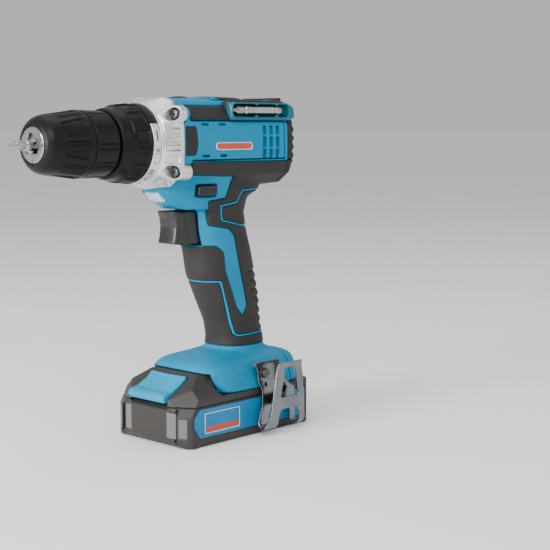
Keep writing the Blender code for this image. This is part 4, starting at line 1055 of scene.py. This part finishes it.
def build_belt_clip():
    """One bent strip: a back plate, a turn at the foot and an outer plate with a window and an arch."""
    g = Grid((-4, -50.6, -0.6), (39.8, -34.8, 51.2), 0.34)
    strip = [(-36.4, 49.4), (-36.4, 36), (-36.9, 33.6), (-38, 31)]
    for k in range(13):
        turn = math.pi * k / 12
        strip.append((CLIP_MIDDLE + 4.5 * math.cos(turn), 9 - 5 * math.sin(turn)))
    strip += [(-47, 12), (-47, 43.5), (-47.4, 46), (-48.7, 49.3)]
    sheet = polyline(g.y, g.z, strip) - 0.6
    outer = [(-0.4, -3), (-0.6, 6.3), (4.5, 14.3), (7.9, 32.4), (11.2, 48.4), (33.9, 48.4), (36, 36.7),
             (37.5, 14.5), (38, 5), (37.2, -3)]
    back = [(0.4, -3), (1.5, 8), (5.3, 18.3), (5.3, 28.6), (3, 35.1), (2.2, 43.2), (-2.4, 48.8),
            (24.5, 48.8), (24.5, 44), (20.4, 34.5), (26.6, 38.3), (32, 31), (37.4, 28), (37.2, -3)]
    outer, back = polygon(g.x, g.z, outer, 1.5), polygon(g.x, g.z, back, 1)
    f = both(sheet, np.where(g.y < CLIP_MIDDLE, outer, back), 0.35)
    window = polygon(g.x, g.z, [(13.9, 24.5), (31.2, 24.5), (28.5, 44.2), (18, 44.2)], 1.2)
    f = cut(f, 0.3, window, g.y - CLIP_MIDDLE)
    arch = [(11.6, -5), (32.4, -5), (32.4, 11.5), (29.5, 16.3), (14.5, 16.3), (11.6, 11)]
    f = without(f, polygon(g.x, g.z, arch, 1.5), 0.3)
    for x, z, radius in ((10, 40.5, 2.2), (9.6, 33, 1.3), (26.5, 27.5, 2.6)):
        f = cut(f, 0.2, disc(g.x, g.z, (x, z), radius), CLIP_MIDDLE - g.y)
    piece("clip_strip", g, f, "clip", "housing", "belt_clip", slot="clip")


# ---- battery ----

FRONT_X, SLOPE_Z = -62.5, 30.5  # the foot of the sloping front that holds the button
RUN = Vector((23, 13.4)).normalized()  # a step up that slope, in x and z
PLAN = [(-62.5, -27), (-58.6, -33), (-56.2, -35.6), (53, -35.6), (58, -30.8), (58, 30.8), (53, 35.6),
        (-56.2, 35.6), (-58.6, 33), (-62.5, 27)]
TRACK_Y = 25.8  # the grooves on both sides of the button


def slope_axes(g):
    """Distance up the battery's sloping front, and height off it."""
    x, z = g.x - FRONT_X, g.z - SLOPE_Z
    return x * RUN.x + z * RUN.y, z * RUN.x - x * RUN.y


def button_half(distance):
    return 17.2 - 0.02 * distance


def front_details(g, f):
    """Leaning corner facets, grooves beside the button and the angled faces between them."""
    side = np.abs(g.y)
    distance, lift = slope_axes(g)
    f = both(f, (0.84 * -g.x + 0.54 * side + 0.5 * np.maximum(g.z - 20, 0) - 67.1) / 1.12, 0.4)
    inwards = g.x - FRONT_X
    f = cut(f, 0.3, near(side, TRACK_Y, 0.8), inwards - 3.4, slab(g.z, 4.4, 29.5))
    f = cut(f, 0.25, slab(side, 17.2, 25.4), inwards - (side - 17.2) * 0.22, slab(g.z, 5.6, 23))
    f = cut(f, 0.2, rect(side, 27.6, 32.6, g.z, 6.4, 19.6, 0.5), 66.6 - (0.84 * -g.x + 0.54 * side))
    f = cut(f, 0.5, slab(distance, -3, 22.9), -5.8 - lift, side - button_half(distance) - 0.45)
    return cut(f, 0.2, rect(side, TRACK_Y - 1.7, TRACK_Y + 1.7, g.z, 2.6, 5), inwards - 2.6)


def paint_facet_highlights(obj):
    """Paints the faces at the battery's front corners a lighter grey: a painted highlight where the key
    lamp's light falls on them.
    """
    obj.data.materials.append(LOOKS["painted_highlight_facet"].material)
    for face in obj.data.polygons:
        x, y, z = (c / MM for c in face.center)
        y = abs(y)
        # the two corner faces that face the key lamp take the painted highlight
        first = 17.6 < y < 24.7 and 6 < z < 22.6
        second = 27.9 < y < 32.3 and 6.8 < z < 19.3
        if x < -57.5 and (first or second):
            face.material_index = 1


def build_battery_case():
    g = Grid((-64.2, -37, -1.2), (59.6, 37, 27), 0.6)
    side = np.abs(g.y)
    profile = [(-62.5, 4.2), (-58.8, 0), (56.6, 0), (58, 1.4), (58, 26), (-62.5, 26)]
    plan = polygon(g.x, g.y, PLAN)
    f = both(polygon(g.x, g.z, profile, 0.5), plan, 0.9)
    f = cut(f, 0.4, slab(g.z, -2, 2.6), -0.9 - plan, slab(g.x, -50, 50))
    f = front_details(g, f)
    f = cut(f, 0.3, polygon(g.x, g.z, LABEL, 1) - 0.3, 35 - side)
    for x in (-30, -10, 10, 30):
        f = cut(f, 0.3, disc(g.x, g.y, (x, 0), 2.4), g.z - 0.8)
    for z in (8, 13, 18):
        f = cut(f, 0.4, rect(g.z, z - 0.8, z + 0.8, g.y, -24, 24), 57.3 - g.x)
    f = cut(f, 0, slab(g.x, -46.2, 46.2), side - 33, 2.4 - g.z)
    paint_facet_highlights(piece("battery_tub", g, f, "case", "battery", "battery_case", slot="battery_shell"))


def build_battery_top():
    g = Grid((-64.2, -37, 25.2), (59.6, 37, 45.2), 0.6)
    side = np.abs(g.y)
    profile = [(-62.5, 26.25), (58, 26.25), (58, 30.7), (-28.6, 30.7), (-37.4, 43.9), (-39.5, 43.9),
               (-62.5, 30.5)]
    f = both(polygon(g.x, g.z, profile, 0.4), polygon(g.x, g.y, PLAN), 0.9)
    shoulder = ((side - 36.5) * 14.6 + (g.z - 30.4) * 15) / 20.93
    f = cut(f, 0.6, -shoulder, g.x + 28.1)
    f = either(f, both(both(slab(g.x, -38.3, 46.4), side - 27), slab(g.z, 29, 43.7), 0.8), 0.5)
    f = cut(f, 0.6, -shoulder, g.x + 29.5)
    f = cut(f, 0.2, -19.6 - g.x, slab(side, 24, 29), slab(g.z, 36.1, 39.9))
    for y in (-9, -3, 3, 9):
        f = cut(f, 0.2, rect(g.y, y - 0.9, y + 0.9, g.x, 8, 28), 42.5 - g.z)
    f = front_details(g, f)
    piece("battery_lid", g, f, "case", "battery", "battery_top", slot="battery_shell")


def build_release_button():
    g = Grid((-66, -18.6, 24.5), (-37.4, 18.6, 46), 0.36)
    side = np.abs(g.y)
    distance, lift = slope_axes(g)
    heights = [(-1.8, 1.3), (-0.2, 2.4), (2.2, 2.5), (6.5, 0.7), (16, 0.3), (20, 0.9), (22.4, 1.6)]
    top = along(heights, distance)[0] + 0.0022 * g.y**2
    ribs = 0.42 * wave(distance - 9, 2.3) * rise(distance, 7.4, 8.6) * rise(distance, 20, 18.8)
    ribs = ribs * rise(side - button_half(distance), -1.9, -2.8)
    under = -2.9 + 1.4 * rise(distance, 1.5, -2)
    f = both(both(slab(distance, -2.2, 22.4), side - button_half(distance), 1), lift - top - ribs, 0.9)
    f = both(f, under - lift, 0.8)
    piece("button_cap", g, f, "button", "release_button", "release_button", slot="shell")


def inner(outline, gap):
    return inset(anticlockwise(list(outline)), gap)


def plate(name, outline, y, thickness, look, body, corner=1, hole=None):
    """A thin printed plate standing on one of the object's sides, facing away from the middle."""
    (low_x, low_z), (high_x, high_z) = np.min(outline, 0) - 0.8, np.max(outline, 0) + 0.8
    low_y, high_y = sorted((y, y + math.copysign(thickness, y)))
    g = Grid((low_x, low_y - 0.3, low_z), (high_x, high_y + 0.3, high_z), 0.22)
    shape = polygon(g.x, g.z, outline, corner)
    if hole:
        shape = without(shape, polygon(g.x, g.z, hole, max(0.2, corner - 0.4)))
    piece(name, g, both(shape, slab(g.y, low_y, high_y), 0.08), look, body, slot="shell")


LABEL = [(-54.6, 19), (-50, 24.6), (51, 24.6), (51, 5.8), (-49.4, 5.8), (-54.6, 12.6)]
PLAQUE = oblong(-45.5, -13.5, 8.2, 21.6)
PLAQUE_BAR = oblong(-44.2, -14.8, 9.4, 12.6)
BADGE = oblong(-27.4, 6.2, 190.3, 195.2)


def build_labels():
    """Plain blue battery panels with an unlettered plaque, and an unlettered bar on the barrel."""
    for side, name in ((-1, "left"), (1, "right")):
        panel, plaque, badge = side * 34.98, side * 35.5, side * 28.5
        plate(f"panel_{name}", LABEL, panel, 0.62, "label", "battery")
        plate(f"plaque_edge_{name}", PLAQUE, plaque, 0.3, "white", "battery", 0.8, inner(PLAQUE, 0.55))
        plate(f"plaque_bar_{name}", PLAQUE_BAR, plaque, 0.3, "orange", "battery", 0.5)
        plate(f"badge_edge_{name}", BADGE, badge, 0.62, "white", "housing", 2.2, inner(BADGE, 0.8))
        plate(f"badge_bar_{name}", inner(BADGE, 0.85), badge, 0.58, "orange", "housing", 1.4)


# ---- CAD nodes that stay ----

KEPT = {
    "turned": "chuck_body spindle rotor_shaft spindle_bearing",
    "dark_steel": "jaw_1 jaw_2 jaw_3 chuck_nut clutch_nut motor_end_cap motor_plate ring_gear_1 "
                  "ring_gear_2 belt_clip_screw",
    "black_screw": "housing_screw_1 housing_screw_2 housing_screw_3",
    "steel": "motor_can clutch_spring motor_pinion carrier_1 planet_1_a planet_1_b planet_1_c planet_2_a "
             "planet_2_b planet_2_c",
    "copper": "armature",
    "gloss": "switch_body terminal_block cooling_fan",
    "cell": "battery_cells",
}


def dress_kept_nodes():
    for look, names in KEPT.items():
        for name in names.split():
            paint(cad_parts[name], look)
    for name in ("chuck_body", "belt_clip_screw", *KEPT["black_screw"].split()):
        soften(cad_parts[name])


# ---- camera, floor and light ----

SKY, LOW_SKY = 0.66, 0.88  # the world's strength, and how bright its low part is beside the rest
LAMPS = (
    # name, where it is in metres, size in metres, watts
    ("key", (-1.15, -0.95, 1.25), 0.9, 19),
    ("fill", (0.9, -1.5, 0.7), 1.2, 5),
    ("strip", (-1.4, 0.1, 0.45), 0.55, 30),
    ("top", (0.15, 0.15, 1.6), 1.1, 6),
)
LAMPS_AIM = (0, 0, 0.12)
# the camera that was fitted to the photo, in metres
CAMERA_AT, CAMERA_TOWARDS = (-0.59533, -0.61005, 0.20492), (0.72636, 0.67733, -0.11671)
FOCAL_LENGTH = 82.35
FLOOR_REACH, FLOOR_Z = 40000, -0.4


def studio_world():
    """A pale surround, a little dimmer at the horizon so that it runs into the floor."""
    world = bpy.data.worlds.new("studio")
    world.use_nodes = True
    bpy.context.scene.world = world
    tree = world.node_tree
    where = tree.nodes.new("ShaderNodeTexCoord").outputs["Generated"]
    split = tree.nodes.new("ShaderNodeSeparateXYZ")
    ramp = tree.nodes.new("ShaderNodeValToRGB")
    tree.links.new(where, split.inputs["Vector"])
    tree.links.new(split.outputs["Z"], ramp.inputs["Fac"])
    tree.links.new(ramp.outputs["Color"], tree.nodes["Background"].inputs["Color"])
    for element, (at, level) in zip(ramp.color_ramp.elements, ((0.10, LOW_SKY), (0.42, 1.0))):
        element.position, element.color = at, (level, level, level, 1)
    tree.nodes["Background"].inputs["Strength"].default_value = SKY


def camera_and_stage():
    camera = bpy.data.cameras.new("camera")
    camera.lens, camera.sensor_width = FOCAL_LENGTH, 36.0
    holder = place("camera", camera)
    holder.location = CAMERA_AT
    holder.rotation_mode = "QUATERNION"
    holder.rotation_quaternion = Vector(CAMERA_TOWARDS).to_track_quat("-Z", "Y")
    bpy.context.scene.camera = holder
    studio_world()
    outline = oblong(-FLOOR_REACH, FLOOR_REACH, -FLOOR_REACH, FLOOR_REACH)
    floor = new_object("floor", [(x, y, FLOOR_Z) for x, y in outline], [(0, 1, 2, 3)])
    look = Look("floor_pale", 0.8, specular=0.2)
    stops = [(0.3, (0.90, 0.90, 0.90)), (0.7, (0.93, 0.93, 0.93))]
    look.link(look.ramp(look.noise(6), stops), "Base Color")
    floor.data.materials.append(look.material)
    for name, at, size, power in LAMPS:
        light = bpy.data.lights.new(name, "AREA")
        light.size, light.energy = size, power
        lamp = place(name, light)
        lamp.location = at
        lamp.rotation_mode = "QUATERNION"
        lamp.rotation_quaternion = (Vector(LAMPS_AIM) - Vector(at)).to_track_quat("-Z", "Y")


for build in (
    build_chuck, build_collar, build_gear_case, build_case_screws, build_housing, build_bumper,
    build_cover, build_selector, build_tray, build_bits, build_trigger, build_direction_switch,
    build_lens, build_belt_clip, build_battery_case, build_battery_top, build_release_button,
    build_labels, dress_kept_nodes, camera_and_stage,
):
    build()
